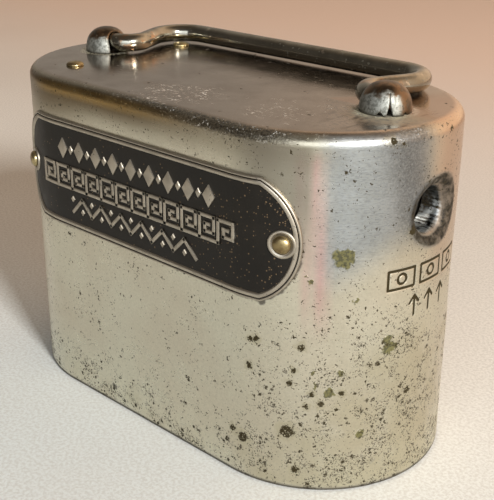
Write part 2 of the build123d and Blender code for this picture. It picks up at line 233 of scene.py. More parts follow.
# ---- node helper ----
class Nodes:
    """Short names for the nodes that the materials use."""

    def __init__(self, name):
        self.material = bpy.data.materials.new(name)
        self.material.use_nodes = True
        self.tree = self.material.node_tree
        self.tree.nodes.clear()
        out = self.tree.nodes.new("ShaderNodeOutputMaterial")
        self.shader = self.tree.nodes.new("ShaderNodeBsdfPrincipled")
        self.tree.links.new(self.shader.outputs[0], out.inputs[0])
        self.place = self.tree.nodes.new("ShaderNodeTexCoord").outputs["Object"]

    def put(self, socket, value):
        if isinstance(value, bpy.types.NodeSocket):
            self.tree.links.new(value, socket)
        elif isinstance(value, (tuple, list)) and len(value) == 3 and len(socket.default_value) == 4:
            socket.default_value = (*value, 1.0)
        else:
            socket.default_value = value

    def math(self, kind, a, b=0.0, clamp=False):
        node = self.tree.nodes.new("ShaderNodeMath")
        node.operation = kind
        node.use_clamp = clamp
        self.put(node.inputs[0], a)
        self.put(node.inputs[1], b)
        return node.outputs[0]

    def times(self, first, *others):
        for other in others:
            first = self.math("MULTIPLY", first, other)
        return first

    def plus(self, a, b, clamp=False):
        return self.math("ADD", a, b, clamp=clamp)

    def minus(self, a, b, clamp=False):
        return self.math("SUBTRACT", a, b, clamp=clamp)

    def stretch(self, x, y, z, shift=(0, 0, 0)):
        """Object coordinates, scaled per axis."""
        node = self.tree.nodes.new("ShaderNodeMapping")
        self.put(node.inputs["Vector"], self.place)
        node.inputs["Scale"].default_value = (x, y, z)
        node.inputs["Location"].default_value = shift
        return node.outputs[0]

    def noise(self, scale, detail=4.0, rough=0.55, where=None, colour=False):
        node = self.tree.nodes.new("ShaderNodeTexNoise")
        self.put(node.inputs["Vector"], self.place if where is None else where)
        node.inputs["Scale"].default_value = scale
        node.inputs["Detail"].default_value = detail
        node.inputs["Roughness"].default_value = rough
        return node.outputs["Color" if colour else "Fac"]

    def cells(self, scale, where=None, output="Distance"):
        node = self.tree.nodes.new("ShaderNodeTexVoronoi")
        self.put(node.inputs["Vector"], self.place if where is None else where)
        node.inputs["Scale"].default_value = scale
        return node.outputs[output]

    def ramp(self, value, low, high, a=0.0, b=1.0, kind="SMOOTHSTEP"):
        """Value taken from low..high to a..b, held at the ends."""
        node = self.tree.nodes.new("ShaderNodeMapRange")
        node.interpolation_type = kind
        self.put(node.inputs["Value"], value)
        for name, number in (("From Min", low), ("From Max", high), ("To Min", a), ("To Max", b)):
            self.put(node.inputs[name], number)
        return node.outputs[0]

    def mix(self, share, a, b):
        """Colour a where share is 0, b where it is 1."""
        node = self.tree.nodes.new("ShaderNodeMix")
        node.data_type = "RGBA"
        self.put(node.inputs[0], share)
        self.put(node.inputs[6], a)
        self.put(node.inputs[7], b)
        return node.outputs[2]

    def tint(self, colour, mask, share, tone):
        """Mixes tone into colour where mask is 1, at this share."""
        return self.mix(self.times(mask, share), colour, tone)

    def stored(self, name):
        node = self.tree.nodes.new("ShaderNodeAttribute")
        node.attribute_name = name
        return node.outputs["Fac"]

    def split(self, socket=None):
        node = self.tree.nodes.new("ShaderNodeSeparateXYZ")
        self.put(node.inputs[0], self.place if socket is None else socket)
        return node.outputs

    def near(self, centre, where=None):
        """Distance from a point in the row frame."""
        node = self.tree.nodes.new("ShaderNodeVectorMath")
        node.operation = "DISTANCE"
        self.put(node.inputs[0], self.place if where is None else where)
        node.inputs[1].default_value = centre
        return node.outputs["Value"]

    def warped(self, scale, amount):
        """Object coordinates pushed about by noise."""
        cloud = self.noise(scale, 3, colour=True)
        away = self.tree.nodes.new("ShaderNodeVectorMath")
        away.operation = "SUBTRACT"
        self.put(away.inputs[0], cloud)
        away.inputs[1].default_value = (0.5, 0.5, 0.5)
        push = self.tree.nodes.new("ShaderNodeVectorMath")
        push.operation = "MULTIPLY_ADD"
        self.put(push.inputs[0], away.outputs[0])
        push.inputs[1].default_value = (amount, amount, amount)
        self.put(push.inputs[2], self.place)
        return push.outputs[0]

    def bump(self, height, distance, strength=1.0, under=None):
        node = self.tree.nodes.new("ShaderNodeBump")
        node.inputs["Strength"].default_value = strength
        node.inputs["Distance"].default_value = distance
        self.put(node.inputs["Height"], height)
        if under is not None:
            self.put(node.inputs["Normal"], under)
        return node.outputs[0]

    def any_of(self, *masks):
        total = masks[0]
        for extra in masks[1:]:
            total = self.math("MAXIMUM", total, extra)
        return total

    def finish(self, colour, rough, metal=1.0, normal=None):
        self.put(self.shader.inputs["Base Color"], colour)
        self.put(self.shader.inputs["Roughness"], rough)
        self.put(self.shader.inputs["Metallic"], metal)
        if normal is not None:
            self.put(self.shader.inputs["Normal"], normal)
        return self.material


# ---- the shell ----
def spaced(marks, steps):
    """Values that run through marks, with about the given step in each stretch."""
    values = [marks[0]]
    for low, high, step in zip(marks, marks[1:], steps):
        count = max(1, round((high - low) / step))
        values += [low + (high - low) * (i + 1) / count for i in range(count)]
    return np.array(values)


BILL_PATCH = 9.6 * MM
SLOT_PATCH_ARC = 18 * MM
SLOT_PATCH_Z = 4.8 * MM
ENGRAVED_LOW = 36.5 * MM
ENGRAVED_HIGH = BILL_Z - BILL_PATCH
ENGRAVED_ARC = 13.6 * MM
FINE = 0.26 * MM
COARSE = 1.5 * MM


def strokes():
    """Engraved pictograms under the bill hole, in arc length and height from the end's middle."""
    lines, rings = [], []
    for middle in (-8.3, 0.0, 8.3):
        corners = [(-3.3, 45.6), (3.3, 45.6), (3.3, 49.6), (-3.3, 49.6)]
        for (x0, z0), (x1, z1) in zip(corners, corners[1:] + corners[:1]):
            lines.append((middle + x0, z0, middle + x1, z1))
        rings.append((middle, 47.6, 1.05))
    for middle in (-4.6, 0.0, 4.6):
        lines.append((middle, 38.8, middle, 43.2))
        lines.append((middle, 43.2, middle - 1.3, 41.6))
        lines.append((middle, 43.2, middle + 1.3, 41.6))
    return np.array(lines) * MM, np.array(rings) * MM


def engraved(arc, z):
    """Depth share 0 to 1 of the engraving."""
    half = 0.34 * MM
    lines, rings = strokes()
    across, up = arc - END_ARC, z
    nearest = np.full(arc.shape, 1.0)
    for x0, z0, x1, z1 in lines:
        along = ((across - x0) * (x1 - x0) + (up - z0) * (z1 - z0)) / ((x1 - x0) ** 2 + (z1 - z0) ** 2)
        along = np.clip(along, 0, 1)
        gap = np.hypot(across - x0 - along * (x1 - x0), up - z0 - along * (z1 - z0))
        nearest = np.minimum(nearest, gap)
    for x, z0, radius in rings:
        nearest = np.minimum(nearest, np.abs(np.hypot(across - x, up - z0) - radius))
    return 1 - smooth(nearest, 0.35 * half, 1.15 * half)


def border_of(arcs, heights, middle_arc, middle_z, half_arc, half_z):
    """The patch's own grid points, once round its border, relative to its middle."""
    us = arcs[(arcs > middle_arc - half_arc - TINY) & (arcs < middle_arc + half_arc + TINY)] - middle_arc
    zs = heights[(heights > middle_z - half_z - TINY) & (heights < middle_z + half_z + TINY)] - middle_z
    ring = [(u, zs[0]) for u in us[:-1]] + [(us[-1], z) for z in zs[:-1]]
    ring += [(u, zs[-1]) for u in us[:0:-1]] + [(us[0], z) for z in zs[:0:-1]]
    return np.array(ring)


def make_opening(mesh, arcs, heights, middle_arc, middle_z, half_arc, half_z, spine, edge, profile, settle):
    """Fills a patch of the wall round a hole. edge is the hole's half height where it meets the flat wall,
    profile the (half height, depth) pairs that lead in from there to the inner wall; the rings are flat from
    the depth called settle on."""
    border = border_of(arcs, heights, middle_arc, middle_z, half_arc, half_z)
    core = np.stack([np.clip(border[:, 0], -spine, spine), np.zeros(len(border))], axis=1)
    aim = border - core
    aim /= np.linalg.norm(aim, axis=1)[:, None]
    side = 1.0 if middle_arc > 0 else -1.0

    def at(flat, depth):
        spot = wall(middle_arc + flat[:, 0], R, middle_z + flat[:, 1])
        level = min(depth / settle, 1)
        spot[:, 0] += level * (side * (S + R) - spot[:, 0]) - side * depth
        return spot

    rings = []
    for i in range(8):
        share = i / 8
        flat = border * (1 - share) + (core + aim * edge) * share
        rings.append(at(flat, 0))
    for half, depth in profile:
        rings.append(at(core + aim * half, depth))
    last = profile[-1][0]
    for i in range(1, 7):
        share = i / 6
        flat = (core + aim * last) * (1 - share) + border * share
        rings.append(wall(middle_arc + flat[:, 0], R - SHEET, middle_z + flat[:, 1]))
    mesh.lattice(rings, closed=True)


def bill_profile():
    """Drawn funnel: a rounded mouth, a straight tube, a rounded end and back along the outside."""
    steps = 8
    lead = []
    for i in range(steps + 1):
        turn = math.pi / 2 * i / steps
        lead.append((BILL_R + BILL_FLARE * (1 - math.sin(turn)), BILL_FLARE * (1 - math.cos(turn))))
    tube = [(BILL_R, depth * MM) for depth in (3.8, 4.6, 5.4, 6.2)]
    outer = BILL_R + SHEET
    end = [(BILL_R + 0.12 * MM, BILL_TUBE - 0.1 * MM), (BILL_R + 0.4 * MM, BILL_TUBE),
           (outer - 0.12 * MM, BILL_TUBE - 0.1 * MM)]
    back = [(outer, 6.2 * MM), (outer, 4.6 * MM), (outer + 0.4 * MM, 3.2 * MM),
            (outer + 1.2 * MM, 2.0 * MM), (outer + 2.4 * MM, 1.1 * MM)]
    return lead + tube + end + back


def slot_profile():
    """Coin slot: a worn outer edge, the cut through the sheet and the inner edge."""
    cut = SLOT_HALF_HIGH
    return [(cut + 0.30 * MM, 0), (cut + 0.12 * MM, 0.06 * MM), (cut, 0.25 * MM),
            (cut, 0.65 * MM), (cut + 0.1 * MM, SHEET)]


def make_shell():
    slot_arc = -END_ARC
    marks = [-AROUND / 2, slot_arc - SLOT_PATCH_ARC, slot_arc + SLOT_PATCH_ARC, -S, S,
             END_ARC - ENGRAVED_ARC, END_ARC - BILL_PATCH, END_ARC + BILL_PATCH,
             END_ARC + ENGRAVED_ARC, AROUND / 2]
    arcs = spaced(marks, [COARSE, COARSE, COARSE, 2 * COARSE, COARSE, FINE, FINE, FINE, COARSE])
    wall_top = TOP - RIM
    levels = [HEM_ROUND, HEM_HIGH, ENGRAVED_LOW, ENGRAVED_HIGH, SLOT_Z - SLOT_PATCH_Z,
              BILL_Z + BILL_PATCH, SLOT_Z + SLOT_PATCH_Z, wall_top]
    heights = spaced(levels, [0.9 * MM, COARSE, FINE, COARSE, COARSE, COARSE, COARSE])
    loop = arcs[:-1]

    def outside(arc, z):
        """True away from the patches that hold the two openings."""
        bill = abs(arc - END_ARC) < BILL_PATCH and abs(z - BILL_Z) < BILL_PATCH
        slot = abs(arc - slot_arc) < SLOT_PATCH_ARC and abs(z - SLOT_Z) < SLOT_PATCH_Z
        return not (bill or slot)

    mids_arc = (arcs[:-1] + arcs[1:]) / 2
    mesh = Mesh()
    for radius, zs in ((R, heights), (R - SHEET, heights[heights > HEM_HIGH - TINY])):
        keep = [[outside(a, z) for a in mids_arc] for z in (zs[:-1] + zs[1:]) / 2]
        mesh.lattice([wall(loop, radius, z) for z in zs], closed=True, keep=keep)

    rim_steps = 9
    top_steps = 15
    for radius, level, corner in ((R, TOP, RIM), (R - SHEET, TOP - SHEET, RIM - SHEET)):
        rows = []
        for i in range(rim_steps + 1):
            turn = math.pi / 2 * i / rim_steps
            inward, down = corner * (1 - math.cos(turn)), corner * (1 - math.sin(turn))
            rows.append(wall(loop, radius - inward, level - down))
        flat = radius - corner
        for i in range(1, top_steps + 1):
            rows.append(wall(loop, flat * (1 - i / top_steps), level))
        mesh.lattice(rows, closed=True)

    low = [(R - SHEET, HEM_HIGH), (R - HEM + 0.35 * MM, HEM_HIGH), (R - HEM + 0.1 * MM, HEM_HIGH - 0.1 * MM),
           (R - HEM, HEM_HIGH - 0.35 * MM), (R - HEM, 1.6 * MM), (R - HEM, 0.3 * MM),
           (R - HEM + 0.09 * MM, 0.09 * MM), (R - HEM + 0.3 * MM, 0), (R - HEM_ROUND, 0)]
    for i in range(1, 6):
        turn = math.pi / 2 * i / 5
        low.append((R - HEM_ROUND * (1 - math.sin(turn)), HEM_ROUND * (1 - math.cos(turn))))
    mesh.lattice([wall(loop, radius, z) for radius, z in low], closed=True)

    make_opening(mesh, arcs, heights, END_ARC, BILL_Z, BILL_PATCH, BILL_PATCH, 0.0,
                 BILL_R + BILL_FLARE, bill_profile(), 5 * MM)
    make_opening(mesh, arcs, heights, slot_arc, SLOT_Z, SLOT_PATCH_ARC, SLOT_PATCH_Z,
                 SLOT_HALF_ARC - SLOT_HALF_HIGH, SLOT_HALF_HIGH + 0.3 * MM, slot_profile(), 1.0)
    made = mesh.build("shell_skin")
    wear_shell(made)
    return made


# (arc length, height, width, depth) of the dents, in millimetres
DENTS = [(31, 12, 7, 0.25), (-12, 22, 10, 0.2), (58, 22, 9, 0.25), (10, 33, 14, 0.12), (92, 40, 9, 0.3),
         (130, 30, 12, 0.25), (-60, 20, 8, 0.25), (-95, 45, 12, 0.3), (-131, 55, 9, 0.2)]


def wear_shell(made):
    """Hand-worn sheet: faint waves, shallow dents and the engraving."""
    points = coordinates(made)
    arc = arc_of(points)
    z = points[:, 2]
    fade = smooth(z, 0.5 * MM, 6 * MM) * (1 - smooth(z, TOP - 1.2 * RIM, TOP - 0.6 * RIM))
    depth = 0.07 * MM * (0.6 + wobble(points, 18 * MM, 1)) + 0.03 * MM * (0.6 + wobble(points, 7 * MM, 2))
    for at, level, wide, deep in DENTS:
        off = np.hypot(arc - at * MM, z - level * MM) / (wide * MM)
        depth += deep * MM * np.exp(-off * off * 2)
    depth = np.clip(depth, 0, None) * fade
    hole = np.hypot(arc - END_ARC, z - BILL_Z)
    depth *= smooth(hole, 7 * MM, 10 * MM)
    cut = engraved(arc, z)
    outer_wall = np.hypot(np.clip(np.abs(points[:, 0]) - S, 0, None), points[:, 1]) > R - 0.25 * MM
    cut = np.where(outer_wall, cut, 0)
    depth += 0.16 * MM * cut
    inwards = np.stack([-np.sign(points[:, 0]) * np.clip(np.abs(points[:, 0]) - S, 0, None), -points[:, 1],
                        np.zeros(len(points))], axis=1)
    length = np.linalg.norm(inwards, axis=1)
    inwards /= np.clip(length, 1e-6, None)[:, None]
    points += inwards * depth[:, None]
    flat = z > TOP - 1e-5
    points[:, 2] -= np.where(flat, 0.05 * MM * (0.6 + wobble(points, 20 * MM, 4)).clip(0, None), 0)
    made.data.vertices.foreach_set("co", points.ravel())

    attribute(made, "cut", cut)
    attribute(made, "arc", arc)
    mark_wall(made, points, arc / MM, z / MM)
    mark_rim(made, arc / MM, z / MM)
    mark_hole(made, points, arc / MM, hole / MM)


def mark_wall(made, points, arc, z):
    """Masks for the wall, from arc length and height in millimetres: pits, and bands of painted reflection
    and painted shade.
    """
    top = TOP / MM
    low_right = smooth(arc, 18, 62) * (1 - smooth(z, 10, 52))
    foot = 1 - smooth(z, 2, 17)
    right_band = np.exp(-((arc - 66) / 10) ** 2) * (1 - smooth(z, 25, 52))
    other_sides = 0.45 * (smooth(np.abs(arc), 84, 100) + smooth(-arc, 60, 80))
    pits = np.clip(0.75 * low_right + 0.55 * foot + 0.5 * right_band + other_sides * foot, 0, 1)
    pits = np.clip(pits + 0.12 + 0.35 * wobble(points, 9 * MM, 5) * (0.3 + pits), 0, 1)
    attribute(made, "pits", pits)
    # Painted cool reflection on the upper right wall: the blurred tail of the front light's highlight,
    # painted bluish-grey.
    lower_edge = 48 + 0.55 * np.clip(arc - 50, 0, None)
    attribute(made, "cool", band(arc, 44, 50, 66, 74) * smooth(z, lower_edge - 5, lower_edge + 6))
    # Painted pink reflection: slanting vertical streaks on the right end.
    past = arc - 44.3 - 0.06 * (top - z)
    streaks = np.exp(-((past - 1.2) / 1.3) ** 2) + 0.6 * np.exp(-(past + 1.8) ** 2)
    attribute(made, "pink", streaks * band(z, 33, 47, top - 5.5, top - 2.5))
    # Painted shade: a darker grey patch round the nameplate's right end, up to the rim.
    attribute(made, "painted_grey_shade", band(arc, 26, 35, 44, 46.5) * band(z, 50, 66, top - 3, top - 2))
    # Painted dark reflection: a slanting dark band on the wall left of the bill hole, up to the rim.
    painted_dark_reflection = np.exp(-((arc - 62.5 - 0.25 * (top - z)) / 5.2) ** 2)
    attribute(made, "painted_dark_reflection", painted_dark_reflection * band(z, 50, 60, top - 2, top - 0.5))
    # Painted warm reflection: an orange-pink tint over the upper right end, from the bill hole towards the
    # back.
    attribute(made, "painted_warm_reflection", band(arc, 69, 76, 92, 104) * smooth(z, 36, 56))


def mark_rim(made, arc, z):
    """Masks for the top and its rounded edge, in millimetres: dark grain, a golden band that is partly
    tarnish and partly a painted reflection, and shade below it.
    """
    top, rim = TOP / MM, RIM / MM
    attribute(made, "top", smooth(z, top - 0.6, top - 0.05))
    edge = band(z, top - 3.6, top - 1.8, top - 0.35, top - 0.02)
    grain = band(arc, -22, 8, 36, 46) + 0.8 * np.exp(-((arc - 66) / 5) ** 2)
    attribute(made, "rim_dark", np.clip(edge * grain, 0, 1))
    # Golden band on the left rounded edge: partly tarnish, partly a painted reflection.
    attribute(made, "gold", band(z, top - 4.2, top - 3, top - 1.5, top - 0.6) * band(arc, -40, -30, -12, 26))
    foot = 69 - 5 * (1 - smooth(arc, -34, -12))
    shade = band(z, foot, 74.5, top - 0.5 * rim, top) * band(arc, -75, -55, 40, 56)
    attribute(made, "shade", shade * (1 - 0.45 * smooth(arc, -5, 25)))


def mark_hole(made, points, arc, hole):
    """Masks for the bill hole's black mouth and its tube; hole is millimetres from its middle."""
    near = (points[:, 0] > S + R - 7 * MM) & (hole < 10) & (hole > BILL_R / MM - 0.05)
    beyond = np.clip((arc - END_ARC / MM) / np.clip(hole, 0.001, None), 0, 1)
    reach = np.where(hole > 5.4, hole / (1 + 0.16 * beyond), hole)
    mouth = smooth(hole, 4.9, 5.4) * (1 - smooth(reach, 7.2, 8.0))
    attribute(made, "mouth", np.where(near, mouth, 0))
    face = S + R * np.cos(np.arcsin(np.clip(points[:, 1] / R, -1, 1)))
    attribute(made, "tube", np.where(near, smooth(face - points[:, 0], 1.2 * MM, 2.2 * MM), 0))


# ---- pieces that stand for CAD nodes ----
def make_lug(side, middle, cuts):
    """Pressed dome with a mouth for the wire. Each cut is (angle, width at the base, height, flare): a narrow
    notch or slit whose width, in millimetres, grows towards the base."""
    axis = (HANDLE_Z - TOP) / MM
    gape = WIRE / MM + 0.5

    def round_at(h):
        return LUG_RADIUS * max(1 - (h / LUG_RISE) ** LUG_FULLNESS, 0) ** (1 / LUG_FULLNESS)

    def half_width(cut, h):
        base, top, flare = cut[1:]
        share = np.clip(1 - h / top, 0, 1)
        return (0.5 * base * share ** flare + 0.03) / max(round_at(h), 1)

    def mouth(h):
        spread = gape if h < axis else math.sqrt(max(gape ** 2 - (h - axis) ** 2, 0))
        return math.asin(min(spread / max(round_at(h), 0.1), 1)) + 0.01

    levels = np.append(LUG_RISE * np.sin(np.linspace(0, math.pi / 2, 40))[:-1], LUG_RISE - 0.01)
    levels.sort()
    edges = sorted(cuts)
    rows, keep = [], []
    for h in levels:
        marks = [-math.pi + mouth(h)]
        for cut in edges:
            middle_at, half = math.radians(cut[0]), half_width(cut, h)
            marks += [middle_at - half, middle_at + half]
        marks.append(math.pi - mouth(h))
        turns = []
        for k, (a, b) in enumerate(zip(marks, marks[1:])):
            count = 2 if k % 2 else 12
            turns += [a + (b - a) * m / count for m in range(count)]
        turns.append(marks[-1])
        around = [marks[-1] + (2 * mouth(h)) * m / 12 for m in range(1, 12)]
        turns = np.array(turns + around)
        reach = round_at(h)
        x = middle + side * reach * np.cos(turns) * MM
        rows.append(np.stack([x, reach * np.sin(turns) * MM, np.full(len(turns), TOP + h * MM)], axis=1))
        flags = []
        for k in range(len(marks) - 1):
            flags += [k % 2 == 0 or h >= edges[k // 2][2]] * (2 if k % 2 else 12)
        flags += [h >= axis + gape] * 12
        keep.append(flags)
    mesh = Mesh()
    mesh.lattice(rows, closed=True, keep=keep)
    mesh.fan(rows[-1])
    made = mesh.build("lug_dome_right" if side > 0 else "lug_dome_left", weld=1e-6, sharp=60)
    skin = made.modifiers.new("sheet", "SOLIDIFY")
    skin.thickness = 0.7 * MM
    skin.offset = -1
    return made


def plate_ring(inset, height):
    """Outline of the nameplate, moved in by inset and out from the wall by height."""
    radius = PLATE_END_R - inset
    half = PLATE_HALF - inset
    corner = PLATE_END + math.sqrt(max(radius * radius - half * half, 0))
    along = np.linspace(-1, 1, 61)[:-1]
    up = np.linspace(-1, 1, 29)[:-1]
    arc_end = PLATE_END + np.sqrt(np.clip(radius ** 2 - (half * up) ** 2, 0, None))
    arcs = np.concatenate([along * corner, arc_end, -along * corner, -arc_end])
    zs = np.concatenate([np.full(60, -half), half * up, np.full(60, half), -half * up])
    return wall(arcs, R + height, PLATE_Z + zs)


def make_nameplate():
    """Pressed plate: rolled outer edge, flat border, sunk field; black in the field only."""
    full = PLATE_THICK - 0.02 * MM
    sunk = PLATE_THICK - PLATE_FIELD
    edge = [(0.0, -0.1), (0.0, 0.35), (0.06, 0.52), (0.18, 0.66), (0.34, full / MM), (0.5, 0.6)]
    groove = [(0.5, 0.6), (0.56, 0.42), (0.66, 0.42), (0.72, 0.6)]
    border = [(0.72, 0.6), (0.8, full / MM), (1.35, full / MM), (1.52, 0.6), (1.66, sunk / MM)]
    insets = (1.9, 2.6, 3.6, 5, 6.5, 8, 9.5, 11, 12.2, PLATE_HALF / MM - 0.01)
    field = [(inset, sunk / MM) for inset in insets]
    under = [(inset, -0.1) for inset in (PLATE_HALF / MM - 0.01, 11, 8, 5, 2, 0.0)]
    mesh = Mesh()
    for profile, slot in ((edge, 0), (groove, 1), (border, 0), ([border[-1]] + field, 1), (under, 0)):
        mesh.lattice([plate_ring(i * MM, h * MM) for i, h in profile], closed=True, slot=slot)
    mesh.fan(plate_ring(PLATE_HALF - 0.01 * MM, sunk), slot=1)
    mesh.fan(plate_ring(PLATE_HALF - 0.01 * MM, -0.1 * MM), slot=0)
    return mesh.build("nameplate_pressing", weld=1e-6, sharp=55)


def bar(mesh, u0, z0, u1, z1, half):
    """A raised stroke on the nameplate's field, from one point to another in the plate's own millimetres."""
    low, high = PLATE_THICK - PLATE_FIELD - 0.05 * MM, PLATE_THICK - 0.03 * MM
    length = math.hypot(u1 - u0, z1 - z0)
    du, dz = (u1 - u0) / length, (z1 - z0) / length
    steps = max(1, round(abs(u1 - u0) / 1.5))
    section = [(half, low), (half, high - 0.06 * MM), (half - 0.08, high), (-half + 0.08, high),
               (-half, high - 0.06 * MM), (-half, low)]
    rows = []
    for i in range(steps + 1):
        share = -half / length + i / steps * (1 + 2 * half / length)
        u, z = u0 + (u1 - u0) * share, z0 + (z1 - z0) * share
        row = [wall((u - dz * s) * MM, R + h, PLATE_Z + (z + du * s) * MM) for s, h in section]
        rows.append(row)
    mesh.rod(rows)


def gem(mesh, u, z, half_wide, half_high):
    """A raised solid lozenge."""
    low, high = PLATE_THICK - PLATE_FIELD - 0.05 * MM, PLATE_THICK - 0.03 * MM
    rows = []
    for share, level in ((1, low), (1, high - 0.08 * MM), (0.86, high), (0.02, high)):
        corners = [(-1, 0), (-0.5, 0.5), (0, 1), (0.5, 0.5), (1, 0), (0.5, -0.5), (0, -1), (-0.5, -0.5)]
        spots = [(u + a * half_wide * share, z + b * half_high * share) for a, b in corners]
        rows.append([wall(along * MM, R + level, PLATE_Z + up * MM) for along, up in spots])
    mesh.lattice(rows, closed=True)
    mesh.fan(rows[-1])


def make_ornament():
    """Three rows of raised pattern: lozenges, a Greek key, a zigzag with studs."""
    mesh = Mesh()
    stroke = 0.4
    row_z = 6.2
    for i, u in enumerate(np.linspace(-25.2, 22.3, 17)):
        gem(mesh, u, row_z, *((1.7, 2.4), (0.75, 1.05))[i % 2])
    low, high = -2.7, 2.2
    pitch = 5.25
    for i in range(12):
        u = -32.8 + i * pitch
        key = [(0, low), (0, high), (4.05, high), (4.05, low + 1.6), (1.5, low + 1.6), (1.5, high - 1.7),
               (2.75, high - 1.7)]
        for (a, b), (c, d) in zip(key, key[1:]):
            bar(mesh, u + a, b - 0.25, u + c, d - 0.25, stroke)
        if i < 11:
            bar(mesh, u, low - 0.25, u + pitch, low - 0.25, stroke)
    row_z, rise, pitch = -6.8, 1.7, 3.4
    for i in range(12):
        u = -22.4 + i * pitch
        turn = rise if i % 2 else -rise
        bar(mesh, u, row_z + turn, u + pitch, row_z - turn, stroke)
        gem(mesh, u, row_z - turn * 0.75, 0.62, 0.75)
    return mesh.build("nameplate_ornament", weld=1e-7, sharp=50)


def lathe(name, profile, middle, outwards, turns=40):
    """Turned piece: (radius, height) pairs round an axis that points outwards from middle."""
    normal = Vector(outwards).normalized()
    across = normal.cross(Vector((0, 0, 1))) if abs(normal.z) < 0.9 else Vector((1, 0, 0))
    across.normalize()
    up = normal.cross(across)
    mesh = Mesh()
    rows = []
    for radius, height in profile:
        ring = []
        for i in range(turns):
            turn = 2 * math.pi * i / turns
            spot = Vector(middle) + normal * height * MM
            spot += (across * math.cos(turn) + up * math.sin(turn)) * radius * MM
            ring.append(tuple(spot))
        rows.append(ring)
    mesh.rod(rows)
    return mesh.build(name, weld=1e-7, sharp=50)


def rivet_head(radius, rise, steps=8):
    """Profile of a slightly flattened dome with a rolled edge."""
    rows = [(radius * 0.9, -0.15), (radius, 0.05), (radius, 0.22)]
    for i in range(1, steps):
        turn = math.pi / 2 * i / steps
        rows.append((radius * math.cos(turn) ** 0.8, 0.22 + (rise - 0.22) * math.sin(turn)))
    return rows + [(0.05, rise)]


def bent_path(corners, bends):
    """Points along straight stretches joined by arcs with these radii."""
    path = [np.array(corners[0])]
    for i, radius in enumerate(bends, start=1):
        before, here, after = (np.array(c) for c in corners[i - 1:i + 2])
        a = (before - here) / np.linalg.norm(before - here)
        b = (after - here) / np.linalg.norm(after - here)
        half = math.acos(np.clip(a @ b, -1, 1)) / 2
        middle = here + (a + b) / np.linalg.norm(a + b) * radius / math.sin(half)
        start = here + a * radius / math.tan(half)
        end = here + b * radius / math.tan(half)
        first = math.atan2(*(start - middle)[::-1])
        sweep = math.atan2(*(end - middle)[::-1]) - first
        sweep = (sweep + math.pi) % (2 * math.pi) - math.pi
        for k in range(13):
            turn = first + sweep * k / 12
            path.append(middle + radius * np.array([math.cos(turn), math.sin(turn)]))
    path.append(np.array(corners[-1]))
    return path


def divided(path, step):
    """The path with its long stretches divided into pieces of about this length."""
    fine = [path[0]]
    for point in path[1:]:
        start = fine[-1]
        count = max(1, round(np.linalg.norm(point - start) / step))
        fine += [start + (point - start) * (k + 1) / count for k in range(count)]
    return np.array(fine)


def make_handle():
    """Bent wire: straight feet in the domes, slanted arms and a long grip, a little uneven."""
    corners = [(LUG_X + 1.0 * MM, 0), (33.6 * MM, 0), (43.6 * MM, 22.6 * MM)]
    corners += [(-x, y) for x, y in corners[::-1]]
    fine = divided(bent_path(corners, (4.3 * MM, 7.4 * MM, 7.4 * MM, 4.3 * MM)), 1.6 * MM)
    along = np.gradient(fine, axis=0)
    along /= np.linalg.norm(along, axis=1)[:, None]
    rows = []
    for k, (spot, ahead) in enumerate(zip(fine, along)):
        side = Vector((ahead[1], -ahead[0], 0))
        middle = Vector((spot[0], spot[1], HANDLE_Z))
        radius = WIRE * (0.985 + 0.012 * noise.noise(Vector((k * 0.11, 3.3, 0))))
        radius *= 0.93 if k in (0, len(fine) - 1) else 1.0
        row = []
        for i in range(32):
            turn = 2 * math.pi * i / 32
            up = Vector((0, 0, radius * math.sin(turn)))
            row.append(tuple(middle + side * radius * math.cos(turn) + up))
        rows.append(row)
    mesh = Mesh()
    mesh.rod(rows)
    return mesh.build("handle_wire", weld=1e-7, sharp=60)


# ---- materials ----
WARM_NICKEL = (0.705, 0.685, 0.565)
# Tints of painted reflections: a cool band and pink streaks on the right end, and the golden band on the rim,
# which is partly tarnish.
COOL_REFLECTION_TINT = (0.335, 0.365, 0.39)
PINK_REFLECTION_TINT = (0.66, 0.40, 0.39)
GOLD_TARNISH_AND_REFLECTION = (0.44, 0.29, 0.10)
TOP_NICKEL = (0.50, 0.44, 0.385)
PIT_DARK = (0.025, 0.018, 0.005)
VERDIGRIS = (0.042, 0.040, 0.013)
GRIME = (0.045, 0.037, 0.026)

# (arc length, height, radius) of the larger stains on the wall, in millimetres
GREEN_STAINS = [(51.7, 53.5, 2.3), (62.5, 33, 1.7), (61.7, 35.2, 1.0), (54.6, 44.4, 0.8), (45.3, 48.5, 0.8),
                (50, 24, 1.2), (57, 13.5, 0.9), (52, 28.5, 0.7), (47, 25.8, 0.7), (47, 28.7, 0.6),
                (97, 30, 2.2), (118, 52, 1.8), (-64, 41, 2.0), (-110, 36, 2.4)]
DARK_STAINS = [(44, 34, 0.75), (33, 33.8, 0.7), (34.4, 34.2, 0.75), (41.4, 14, 1.5), (31, 9.6, 1.2),
               (28.3, 10.8, 0.8), (41.7, 25.5, 0.7), (42.5, 28.6, 0.6), (46.4, 23.4, 0.6), (48.3, 21.2, 0.75),
               (45.3, 20.5, 0.6), (32.7, 27.6, 0.7), (52.5, 23.6, 0.6), (68, 21.4, 0.8), (66.5, 57.5, 0.9),
               (43.5, 5, 0.9), (60.5, 76.2, 0.8), (62.6, 75.4, 0.5), (58.8, 76.8, 0.5), (77, 76.0, 0.6),
               (104, 18, 1.4), (-56, 15, 1.3), (-120, 20, 1.6), (135, 44, 1.2)]


def stain_mask(nodes, stains, where, soft=0.25):
    """1 inside any of the stains, with a ragged edge."""
    masks = []
    for arc, z, radius in stains:
        x, y = wall_xy(arc * MM, R)
        away = nodes.near((float(x), float(y), z * MM), where)
        masks.append(nodes.ramp(away, radius * MM * (1 + soft), radius * MM * (1 - soft), 0.0, 1.0))
    return nodes.any_of(*masks)


def speck_mask(nodes, scale, size, chance, where=None):
    """Round-ish specks: cells whose own random number is under chance, cut to size."""
    away = nodes.cells(scale, where)
    pick = nodes.split(nodes.cells(scale, where, output="Color"))[0]
    inside = nodes.ramp(away, size, size * 0.55)
    chosen = nodes.math("LESS_THAN", pick, chance)
    return nodes.math("MULTIPLY", inside, chosen)


